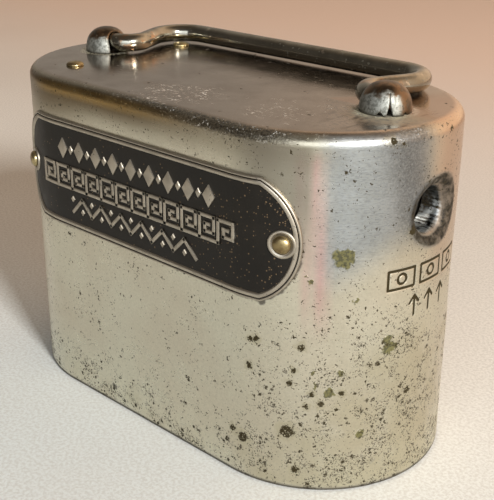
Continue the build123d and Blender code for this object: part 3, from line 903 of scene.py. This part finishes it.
def top_wear(n, top, cloud):
    """The top's colour, and masks of the dull halo at the right lug and the crusts round both lugs."""
    colour = n.mix(n.ramp(cloud, 0.35, 0.7), TOP_NICKEL, (0.40, 0.345, 0.30))
    halo_place = (LUG_X + 2 * MM, -1.5 * MM, TOP)
    halo = n.ramp(n.near(halo_place, n.warped(260, 6 * MM)), 11 * MM, 5.5 * MM)
    colour = n.tint(colour, halo, 0.75, (0.50, 0.46, 0.36))
    for side in (-1, 1):
        rivet = (GUARD_RIVET_X, side * GUARD_RIVET_Y, TOP)
        ring = n.ramp(n.near(rivet, n.warped(500, 2 * MM)), 5.2 * MM, 3.0 * MM)
        colour = n.tint(colour, ring, 0.7, (0.52, 0.50, 0.44))
    rings = []
    for lug_x in (-LUG_X, LUG_RIGHT_X):
        away = n.near((lug_x, 0, TOP), n.warped(700, 2.5 * MM))
        rings.append(n.times(n.ramp(away, 4.6 * MM, 5.4 * MM), n.ramp(away, 7.6 * MM, 6.0 * MM)))
    crust = n.times(n.any_of(*rings), top, n.ramp(n.noise(1500, 4, 0.7), 0.42, 0.58, 0.1, 0.9))
    smear = n.ramp(n.noise(1.0, 4, 0.65, n.stretch(620, 150, 300)), 0.56, 0.66)
    smear = n.times(smear, n.ramp(n.near((52 * MM, -4 * MM, TOP)), 22 * MM, 8 * MM))
    colour = n.tint(colour, smear, 0.75, (0.10, 0.075, 0.05))
    return n.mix(crust, colour, (0.42, 0.40, 0.28)), halo, crust


def top_scratches(n, top):
    """Thin scratches and paler scuffs, most of them on the front half of the top."""
    lines = n.noise(1.0, 2, 0.5, n.stretch(260, 620, 300, (3, 1, 0)))
    thin = n.ramp(n.math("ABSOLUTE", n.minus(lines, 0.5)), 0.024, 0.009)
    front = n.ramp(n.near((4 * MM, -18.5 * MM, TOP), n.warped(150, 10 * MM)), 13 * MM, 5 * MM)
    right = n.ramp(n.near((28 * MM, -14 * MM, TOP), n.warped(150, 20 * MM)), 15 * MM, 4 * MM, 0, 0.7)
    marked = n.any_of(front, right)
    patches = n.times(n.any_of(marked, 0.12), n.ramp(n.noise(420, 3), 0.47, 0.6))
    scuff = n.times(n.ramp(n.noise(900, 4, 0.7), 0.52, 0.66), marked, top)
    return n.times(thin, patches, top), scuff


def pitting(n, pits, top, side_only, ragged):
    """Dark specks of four sizes in groups, larger blots with broken edges, and a few specks on the top."""
    crowd = n.times(pits, n.plus(n.ramp(n.noise(210, 4), 0.43, 0.62), 0.12))
    tiny = speck_mask(n, 3000, 0.50, n.ramp(crowd, 0.0, 0.8, 0.015, 0.55, "LINEAR"), ragged)
    fine = speck_mask(n, 1600, 0.50, n.ramp(crowd, 0.03, 0.8, 0.005, 0.60, "LINEAR"), ragged)
    frayed = n.warped(1500, 1.2 * MM)
    medium = speck_mask(n, 740, 0.45, n.ramp(crowd, 0.06, 0.8, 0.0, 0.38, "LINEAR"), frayed)
    large = speck_mask(n, 300, 0.25, n.ramp(pits, 0.25, 1.0, 0.0, 0.18, "LINEAR"), frayed)
    blots = stain_mask(n, DARK_STAINS, n.warped(1300, 1.6 * MM), 0.12)
    broken = n.times(n.any_of(medium, large, blots), n.ramp(n.noise(3000, 2), 0.34, 0.42))
    on_wall = n.times(n.any_of(broken, fine, tiny), side_only)
    return n.any_of(on_wall, n.times(speck_mask(n, 700, 0.3, 0.05, ragged), top))


def plate_grime(n, arc, height):
    """Dirt along the nameplate's outline, thickest below, and a drip at its lower right corner."""
    up = n.minus(height, PLATE_Z)
    along = n.math("ABSOLUTE", arc)
    past = n.minus(along, PLATE_END)
    bow = n.math("SQRT", n.plus(n.times(past, past), n.times(up, up)))
    edge = n.minus(n.math("ABSOLUTE", up), PLATE_HALF)
    outline = n.math("MAXIMUM", edge, n.minus(bow, PLATE_END_R))
    outline = n.plus(outline, n.times(n.minus(n.noise(600, 4), 0.5), 1.2 * MM))
    grimy = n.times(n.ramp(outline, 0.62 * MM, 0.1 * MM), n.ramp(up, 8 * MM, -6 * MM, 0.25, 1.0))
    grimy = n.times(grimy, n.math("LESS_THAN", n.minus(along, PLATE_CORNER), 12 * MM))
    x, y = wall_xy(PLATE_CORNER, R)
    drip = n.near((float(x), float(y), 42.9 * MM), n.warped(800, 1.2 * MM))
    return n.any_of(grimy, n.ramp(drip, 1.2 * MM, 0.7 * MM))


def verdigris(n, pits, side_only):
    """Mask and colour of the green stains, which have a darker outline, and of green specks."""
    stains = stain_mask(n, GREEN_STAINS, n.warped(700, 3.4 * MM), 0.2)
    chance = n.ramp(pits, 0.2, 1.0, 0.0, 0.10, "LINEAR")
    specks = speck_mask(n, 260, 0.3, chance, n.warped(900, 1.6 * MM))
    tone = n.mix(n.ramp(n.noise(1600, 3), 0.42, 0.58), VERDIGRIS, (0.105, 0.096, 0.030))
    core = n.ramp(n.minus(stains, 0.35, clamp=True), 0.0, 0.45)
    tone = n.mix(core, (0.018, 0.017, 0.007), tone)
    return n.times(n.any_of(stains, n.times(specks, 0.8)), side_only), tone


def bill_hole(n, colour, grains):
    """Tube of the bill hole, bright bare metal below, partly a painted highlight, and painted shade above,
    with faint pleats, and its black mouth.
    """
    place = n.split()
    turn = n.math("ARCTAN2", n.minus(place[2], BILL_Z), place[1])
    pleats = n.math("SINE", n.times(turn, 34.0))
    tube = n.stored("tube")
    bare = n.ramp(n.plus(n.times(pleats, 0.05), n.noise(700, 3)), 0.36, 0.56)
    # Painted shade on the tube's upper part: dark above the middle, bright below.
    below = n.ramp(place[2], BILL_Z + 2.5 * MM, BILL_Z - 1.5 * MM)
    bare = n.times(bare, n.ramp(below, 0.0, 1.0, 0.08, 1.0))
    colour = n.mix(tube, colour, n.mix(bare, (0.05, 0.05, 0.045), (0.86, 0.92, 0.94)))
    mouth = n.times(n.stored("mouth"), n.ramp(n.noise(500, 4), 0.3, 0.6, 0.8, 1.0))
    black = n.mix(n.ramp(grains, 0.4, 0.6), (0.008, 0.007, 0.005), (0.035, 0.028, 0.018))
    return n.mix(mouth, colour, black), mouth, n.times(pleats, tube, 0.5)


def body_material():
    """Worn nickel plate: fine brushing round the body, dull patches, pits, verdigris, a tarnished top, with
    painted reflections, painted shade and a painted contact shadow on the wall.
    """
    n = Nodes("body_nickel")
    pits, cool, top = n.stored("pits"), n.stored("cool"), n.stored("top")
    height = n.split()[2]
    side_only = n.minus(1.0, top)
    cloud = n.noise(150, 5)
    grains = n.noise(2300, 3, 0.7)
    brush = n.noise(1.0, 3, 0.6, n.stretch(160, 160, 3600))
    ragged = n.warped(900, 2.2 * MM)

    colour = n.mix(n.ramp(n.noise(38, 4), 0.35, 0.7), WARM_NICKEL, (0.655, 0.61, 0.495))
    # Painted reflections on the right end: a cool bluish band and pink streaks.
    colour = n.tint(colour, cool, 0.9, COOL_REFLECTION_TINT)
    colour = n.tint(colour, n.stored("pink"), 0.72, PINK_REFLECTION_TINT)
    top_colour, halo, crust = top_wear(n, top, cloud)
    colour = n.mix(top, colour, top_colour)
    rim_dark = n.times(n.stored("rim_dark"), n.ramp(grains, 0.38, 0.58))
    colour = n.tint(colour, rim_dark, 0.85, (0.10, 0.12, 0.14))
    scratches, scuff = top_scratches(n, top)
    colour = n.tint(colour, scratches, 0.95, (0.74, 0.70, 0.64))
    flecks = n.times(speck_mask(n, 2400, 0.4, 0.22, ragged), n.stored("rim_dark"))
    colour = n.mix(flecks, colour, (0.50, 0.52, 0.53))
    colour = n.tint(colour, scuff, 0.6, (0.52, 0.44, 0.38))

    around = stain_mask(n, [(u, z, r * 1.7) for u, z, r in DARK_STAINS], n.warped(900, 3 * MM), 0.3)
    yellowed = n.times(n.ramp(n.times(pits, cloud), 0.25, 0.6), 0.35)
    yellowed = n.any_of(yellowed, n.times(around, 0.4))
    colour = n.tint(colour, yellowed, side_only, (0.44, 0.40, 0.25))
    colour = n.tint(colour, n.stored("shade"), 0.96, (0.150, 0.105, 0.052))
    # Golden band on the left rim: partly tarnish, partly a painted reflection.
    colour = n.tint(colour, n.stored("gold"), 0.72, GOLD_TARNISH_AND_REFLECTION)
    # Painted grey shade patch round the nameplate's right end.
    colour = n.tint(colour, n.stored("painted_grey_shade"), 0.72, (0.20, 0.18, 0.15))
    colour = n.tint(colour, n.ramp(n.noise(1900, 4, 0.7), 0.30, 0.72), 0.24, (0.30, 0.275, 0.20))
    dashes = n.ramp(n.noise(1.0, 2, 0.5, n.stretch(1100, 1100, 4200)), 0.46, 0.66)
    colour = n.tint(colour, n.times(dashes, cool), 0.45, (0.20, 0.21, 0.22))
    # Painted dark reflection left of the bill hole.
    painted_dark_reflection = n.times(n.stored("painted_dark_reflection"), n.ramp(grains, 0.35, 0.6, 0.45, 0.95))
    colour = n.mix(painted_dark_reflection, colour, (0.15, 0.16, 0.165))
    # Painted warm reflection on the upper right end.
    colour = n.tint(colour, n.stored("painted_warm_reflection"), 0.6, (0.52, 0.365, 0.275))
    colour, mouth, pleats = bill_hole(n, colour, grains)

    grimy = plate_grime(n, n.stored("arc"), height)
    colour = n.tint(colour, grimy, 0.92, GRIME)
    green, green_tone = verdigris(n, pits, side_only)
    colour = n.tint(colour, green, 0.95, green_tone)
    dark = n.any_of(pitting(n, pits, top, side_only, ragged), n.ramp(n.stored("cut"), 0.15, 0.5))
    colour = n.mix(dark, colour, PIT_DARK)
    # Painted contact shadow: darker along the bottom edge of the wall.
    painted_contact_shadow = n.ramp(height, 1.2 * MM, 0.6 * MM)
    colour = n.tint(colour, painted_contact_shadow, 0.9, (0.03, 0.025, 0.018))

    light = n.any_of(scratches, n.times(scuff, 0.6), flecks, n.times(crust, 0.8))
    # Dark marks, verdigris, grime, the mouth and the painted contact shadow together lower the metal and
    # raise the roughness.
    dirt_and_painted_shadow = n.any_of(dark, green, n.times(grimy, 0.8), n.times(mouth, 0.75), painted_contact_shadow)
    rough = n.plus(n.ramp(cloud, 0.3, 0.75, 0.27, 0.40), n.times(n.minus(brush, 0.5), 0.16))
    rough = n.plus(rough, n.times(cool, 0.06))
    rough = n.times(rough, n.ramp(top, 0.0, 1.0, 1.0, n.ramp(halo, 0.0, 1.0, 0.5, 1.0)))
    rough = n.plus(rough, n.times(n.any_of(dirt_and_painted_shadow, light, mouth), 0.35), clamp=True)
    rough = n.plus(rough, n.times(halo, top, 0.25), clamp=True)
    metal = n.ramp(n.any_of(dirt_and_painted_shadow, light), 0.0, 1.0, 1.0, 0.1)
    n.shader.inputs["Specular IOR Level"].default_value = 0.2

    reliefs = [(brush, 0.06, 0.35), (n.noise(1400, 2), 0.04, 0.25), (n.minus(1.0, dark), 0.10, 0.3),
               (n.times(grains, n.any_of(rim_dark, painted_dark_reflection)), 0.08, 0.5), (pleats, 0.10, 0.6),
               (n.times(green, n.noise(2000, 3)), 0.15, 0.6), (scratches, 0.05, 0.4)]
    normal = None
    for relief, distance, strength in reliefs:
        normal = n.bump(relief, distance * MM, strength, normal)
    return n.finish(colour, rough, metal, normal)


def plate_metal():
    """Bare nickel of the nameplate's border and raised pattern, in cloudy tones with dark specks."""
    n = Nodes("plate_nickel")
    cloud = n.noise(240, 4)
    colour = n.mix(n.ramp(cloud, 0.35, 0.7), (0.49, 0.445, 0.37), (0.37, 0.335, 0.275))
    specks = speck_mask(n, 1100, 0.3, 0.12, n.warped(900, 2 * MM))
    colour = n.tint(colour, specks, 0.8, GRIME)
    rough = n.ramp(cloud, 0.3, 0.7, 0.36, 0.5)
    normal = n.bump(n.noise(1300, 3), 0.05 * MM, 0.35)
    return n.finish(colour, rough, n.ramp(specks, 0, 1, 1.0, 0.2), normal)


def plate_black():
    """Old black enamel: brown where it has worn thin, with bare metal specks towards +X."""
    n = Nodes("plate_black")
    x = n.split()[0]
    cloud = n.noise(120, 4)
    colour = n.mix(n.ramp(cloud, 0.35, 0.7), (0.006, 0.005, 0.0037), (0.010, 0.008, 0.0055))
    worn = n.times(n.ramp(x, 5 * MM, 44 * MM), n.ramp(n.noise(90, 3), 0.35, 0.6))
    chance = n.ramp(worn, 0.0, 1.0, 0.03, 0.34, "LINEAR")
    specks = n.any_of(speck_mask(n, 2100, 0.38, chance), speck_mask(n, 1100, 0.26, n.times(chance, 0.5)))
    colour = n.tint(colour, specks, 0.7, (0.20, 0.135, 0.075))
    rough = n.ramp(cloud, 0.3, 0.7, 0.34, 0.5)
    normal = n.bump(n.noise(900, 4), 0.06 * MM, 0.4)
    normal = n.bump(specks, 0.04 * MM, 0.5, normal)
    n.shader.inputs["Specular IOR Level"].default_value = 0.24
    return n.finish(colour, rough, n.times(specks, 0.4), normal)


def worn_metal(name, light, dark, rough, scale=220.0, brown=None, brushed=None, specks=0.08):
    """General tarnished metal: two tones in clouds, darker specks, brown where given, fine bump."""
    n = Nodes(name)
    cloud = n.noise(scale, 5)
    colour = n.mix(n.ramp(cloud, 0.36, 0.64), light, dark)
    if brown is not None:
        colour = n.mix(n.ramp(n.noise(scale * 0.45, 4), 0.52, 0.66, 0.0, 0.85), colour, brown)
    spots = speck_mask(n, scale * 5, 0.32, specks, n.warped(scale * 4, 2 * MM))
    colour = n.tint(colour, spots, 0.85, PIT_DARK)
    low, high = rough
    roughness = n.ramp(cloud, 0.3, 0.7, low, high)
    normal = n.bump(n.noise(scale * 6, 3), 0.05 * MM, 0.35)
    if brushed is not None:
        lines = n.noise(1.0, 2, 0.6, n.stretch(*brushed))
        roughness = n.plus(roughness, n.times(n.minus(lines, 0.5), 0.2), clamp=True)
        normal = n.bump(lines, 0.05 * MM, 0.4, normal)
    return n.finish(colour, roughness, n.ramp(spots, 0, 1, 1.0, 0.3), normal)


def lug_material():
    """Worn nickel over copper: bare and bright low down in front, brown and coppery over the crown."""
    n = Nodes("lug_nickel")
    place = n.split()
    y, z = place[1], place[2]
    cloud = n.noise(520, 5)
    uneven = n.times(n.minus(cloud, 0.5), 5 * MM)
    crown = n.ramp(n.plus(z, uneven), TOP + 3.4 * MM, TOP + 4.6 * MM)
    behind = n.ramp(n.plus(y, uneven), -2.6 * MM, 0.4 * MM)
    worn = n.any_of(crown, behind)
    silver = n.mix(n.ramp(n.noise(1500, 3), 0.35, 0.6), (0.20, 0.205, 0.185), (0.38, 0.39, 0.36))
    brown = n.mix(n.ramp(cloud, 0.4, 0.62), (0.115, 0.09, 0.065), (0.21, 0.142, 0.09))
    colour = n.mix(worn, silver, brown)
    spots = speck_mask(n, 1500, 0.36, 0.3, n.warped(1200, 1.5 * MM))
    colour = n.tint(colour, spots, 0.8, PIT_DARK)
    colour = n.mix(n.ramp(z, TOP + 0.8 * MM, TOP, 0.0, 0.7), colour, GRIME)
    rough = n.ramp(worn, 0.0, 1.0, 0.60, 0.30)
    normal = n.bump(n.noise(2200, 3), 0.08 * MM, 0.5)
    return n.finish(colour, rough, n.ramp(spots, 0, 1, 1.0, 0.3), normal)


def handle_material():
    """Dark tarnished nickel wire, worn bright along the outside, with copper-coloured patches at the bends
    that are partly copper and partly painted orange highlights.
    """
    n = Nodes("handle_nickel")
    cloud = n.noise(260, 5)
    colour = n.mix(n.ramp(cloud, 0.35, 0.68), (0.37, 0.36, 0.31), (0.25, 0.24, 0.20))
    # Copper patches at the bends: partly copper, partly painted orange highlights.
    for side in (-1, 1):
        bend = n.ramp(n.near((side * 36 * MM, 4 * MM, HANDLE_Z), n.warped(300, 3 * MM)), 9 * MM, 5 * MM)
        copper = n.times(bend, n.ramp(n.noise(330, 4), 0.50, 0.62, 0.0, 0.55))
        colour = n.mix(copper, colour, (0.50, 0.27, 0.13))
    spots = speck_mask(n, 1300, 0.34, 0.14, n.warped(1000, 1.5 * MM))
    colour = n.tint(colour, spots, 0.8, PIT_DARK)
    nicks = speck_mask(n, 420, 0.2, 0.12, n.warped(500, 4 * MM))
    colour = n.tint(colour, nicks, 0.7, (0.62, 0.58, 0.50))
    rough = n.ramp(cloud, 0.3, 0.7, 0.13, 0.27)
    normal = n.bump(n.noise(1800, 3), 0.05 * MM, 0.4)
    return n.finish(colour, rough, n.ramp(spots, 0, 1, 1.0, 0.3), normal)


MATERIALS = {
    "body_nickel": body_material(),
    "plate_nickel": plate_metal(),
    "plate_black": plate_black(),
    "handle_nickel": handle_material(),
    "lug_nickel": lug_material(),
    "brass": worn_metal("brass", (0.50, 0.42, 0.23), (0.29, 0.225, 0.11), (0.28, 0.44), 420,
                        (0.14, 0.09, 0.045)),
    "inner_steel": worn_metal("inner_steel", (0.36, 0.345, 0.32), (0.22, 0.205, 0.185), (0.38, 0.55), 130,
                              (0.20, 0.105, 0.05), (120, 1500, 120)),
    "door_steel": worn_metal("door_steel", (0.50, 0.475, 0.43), (0.36, 0.335, 0.29), (0.32, 0.46), 110,
                             (0.34, 0.26, 0.18), (90, 2200, 90)),
    "lock_steel": worn_metal("lock_steel", (0.30, 0.29, 0.275), (0.17, 0.16, 0.15), (0.3, 0.45), 180,
                             (0.15, 0.09, 0.05), (1500, 140, 140)),
    "lock_brass": worn_metal("lock_brass", (0.55, 0.43, 0.20), (0.36, 0.26, 0.11), (0.25, 0.4), 200,
                             (0.22, 0.12, 0.05), (1700, 160, 160)),
}


def dress(made, *names):
    """Gives an object its materials, in the order of its slots."""
    for i, name in enumerate(names):
        if i < len(made.data.materials):
            made.data.materials[i] = MATERIALS[name]
        else:
            made.data.materials.append(MATERIALS[name])


# ---- put the object together ----
shell = make_shell()
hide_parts("shell")
dress(shell, "body_nickel")
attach(shell, "bank")

plate = make_nameplate()
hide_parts("nameplate")
dress(plate, "plate_nickel", "plate_black")
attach(plate, "bank")

ornament = make_ornament()
dress(ornament, "plate_nickel")
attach(ornament, "bank")

for side, word in ((-1, "left"), (1, "right")):
    x, y = wall_xy(side * PLATE_RIVET_ARC, R)
    turn = (PLATE_RIVET_ARC - S) / R
    outwards = (side * math.sin(turn), -math.cos(turn), 0)
    low = (PLATE_THICK - PLATE_FIELD) / MM
    cup = [(1.8, low - 0.2), (2.95, low - 0.2), (2.95, 0.5), (2.82, 0.66), (2.55, 0.7), (2.3, 0.62),
           (2.12, 0.45), (1.8, 0.42)]
    washer = lathe(f"nameplate_boss_{word}", cup, (float(x), float(y), PLATE_Z), outwards)
    dress(washer, "plate_nickel")
    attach(washer, "bank")
    head = [(r, h + 0.62) for r, h in rivet_head(1.9, 1.24)]
    rivet = lathe(f"nameplate_rivet_head_{word}", head, (float(x), float(y), PLATE_Z), outwards)
    dress(rivet, "brass")
    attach(rivet, "bank")

for word, y in (("front", -GUARD_RIVET_Y), ("back", GUARD_RIVET_Y)):
    rivet = lathe(f"guard_rivet_head_{word}", rivet_head(2.05, 0.96), (GUARD_RIVET_X, y, TOP), (0, 0, 1))
    dress(rivet, "brass")
    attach(rivet, "bank")

wire = make_handle()
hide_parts("handle")
dress(wire, "handle_nickel")
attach(wire, "handle")

LUG_CUTS = {
    "left": [(angle, 1.3, 0.75, 0.6) for angle in (-58, -32, 0, 32, 58)],
    "right": [(-126, 1.2, 0.7, 0.6), (-66, 1.6, 0.85, 0.6), (-45, 1.5, 4.3, 2.2), (-6, 1.2, 0.7, 0.6),
              (35, 1.4, 0.75, 0.6), (72, 1.4, 0.75, 0.6), (126, 1.2, 0.7, 0.6)],
}
for word, side, middle in (("left", -1, -LUG_X), ("right", 1, LUG_RIGHT_X)):
    lug = make_lug(side, middle, LUG_CUTS[word])
    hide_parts(f"handle_lug_{word}")
    dress(lug, "lug_nickel")
    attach(lug, "bank")

slots = {row["node"]: row["material_slot"] for row in frame["record"]["subparts"]}
for name, node in frame["nodes"].items():
    if not node.hide_render:
        dress(node, slots[name])


# ---- floor, light and camera ----
def floor_material():
    """Plain pale cloth-like ground."""
    n = Nodes("floor")
    y = n.split()[1]
    weave = n.noise(1.0, 4, 0.65, n.stretch(1300, 1300, 1300))
    cloud = n.noise(9, 4)
    near_tone = n.mix(n.ramp(y, -0.06, 0.08), (0.665, 0.705, 0.70), (0.73, 0.705, 0.655))
    colour = n.mix(n.times(n.ramp(cloud, 0.35, 0.7), 0.3), near_tone, (0.60, 0.57, 0.52))
    colour = n.mix(n.ramp(weave, 0.40, 0.62, 0.0, 0.50), colour, (0.48, 0.46, 0.42))
    far = n.ramp(y, 0.05, 0.45)
    colour = n.mix(far, colour, (0.78, 0.60, 0.49))
    normal = n.bump(weave, 0.3 * MM, 0.35)
    n.shader.inputs["Specular IOR Level"].default_value = 0.1
    return n.finish(colour, 0.95, 0.0, normal)


def make_floor():
    mesh = Mesh()
    size = 3.0
    mesh.fan([(-size, -size, 0), (size, -size, 0), (size, size, 0), (-size, size, 0)])
    made = mesh.build("floor")
    made.data.materials.append(floor_material())
    made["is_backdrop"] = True


# (name, place, aim, width, height, power, colour): a hard light from the right and a soft one in front
LIGHTS = [("key", (1.49, -0.50, 0.84), (0, 0, 0.03), 0.28, 0.28, 42.0, (1.0, 0.98, 0.95)),
          ("window", (0.34, -0.50, 0.27), (0.03, 0, 0.06), 0.55, 0.40, 1.8, (0.92, 0.96, 1.0))]


def area_light(name, place, aim, width, height, power, colour):
    data = bpy.data.lights.new(name, "AREA")
    data.shape = "RECTANGLE"
    data.size = width
    data.size_y = height
    data.energy = power
    data.color = colour
    lamp = bpy.data.objects.new(name, data)
    lamp.location = place
    lamp.rotation_euler = (Vector(aim) - Vector(place)).to_track_quat("-Z", "Y").to_euler()
    bpy.context.scene.collection.objects.link(lamp)


def make_world():
    """Soft surroundings: dim in front, warm behind and to the right, cool overhead."""
    world = bpy.data.worlds.new("surroundings")
    world.use_nodes = True
    tree = world.node_tree
    back = tree.nodes["Background"]
    place = tree.nodes.new("ShaderNodeTexCoord")
    split = tree.nodes.new("ShaderNodeSeparateXYZ")
    tree.links.new(place.outputs["Generated"], split.inputs[0])

    def blend(axis, low, high, first, second):
        share = tree.nodes.new("ShaderNodeMapRange")
        share.interpolation_type = "SMOOTHSTEP"
        tree.links.new(split.outputs[axis], share.inputs["Value"])
        share.inputs["From Min"].default_value = low
        share.inputs["From Max"].default_value = high
        both = tree.nodes.new("ShaderNodeMix")
        both.data_type = "RGBA"
        tree.links.new(share.outputs[0], both.inputs[0])
        for socket, tone in ((both.inputs[6], first), (both.inputs[7], second)):
            if isinstance(tone, tuple):
                socket.default_value = (*tone, 1)
            else:
                tree.links.new(tone, socket)
        return both.outputs[2]

    behind = blend(0, -0.76, -0.15, (0.335, 0.295, 0.25), (1.28, 0.89, 0.60))
    level = blend(1, -0.35, 0.45, (0.10, 0.085, 0.07), behind)
    tree.links.new(blend(2, 0.62, 0.97, level, (0.14, 0.105, 0.075)), back.inputs[0])
    back.inputs[1].default_value = 1.0
    bpy.context.scene.world = world


CAMERA_PLACE = Vector((153.8, -157.6, 127.2)) * MM
CAMERA_AIM = Vector((3.8, 1.8, 35.9)) * MM
CAMERA_LENS = 70.7
CAMERA_ROLL = math.radians(0.28)


def make_camera():
    """View from the front right, a little above."""
    data = bpy.data.cameras.new("camera")
    data.sensor_width = 36.0
    data.lens = CAMERA_LENS
    camera = bpy.data.objects.new("camera", data)
    turned = (CAMERA_AIM - CAMERA_PLACE).to_track_quat("-Z", "Y").to_matrix()
    camera.location = CAMERA_PLACE
    camera.rotation_euler = (turned @ Matrix.Rotation(CAMERA_ROLL, 3, "Z")).to_euler()
    bpy.context.scene.collection.objects.link(camera)
    bpy.context.scene.camera = camera


make_floor()
make_world()
for light in LIGHTS:
    area_light(*light)
make_camera()
bpy.context.scene.view_settings.view_transform = "Standard"

low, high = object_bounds()
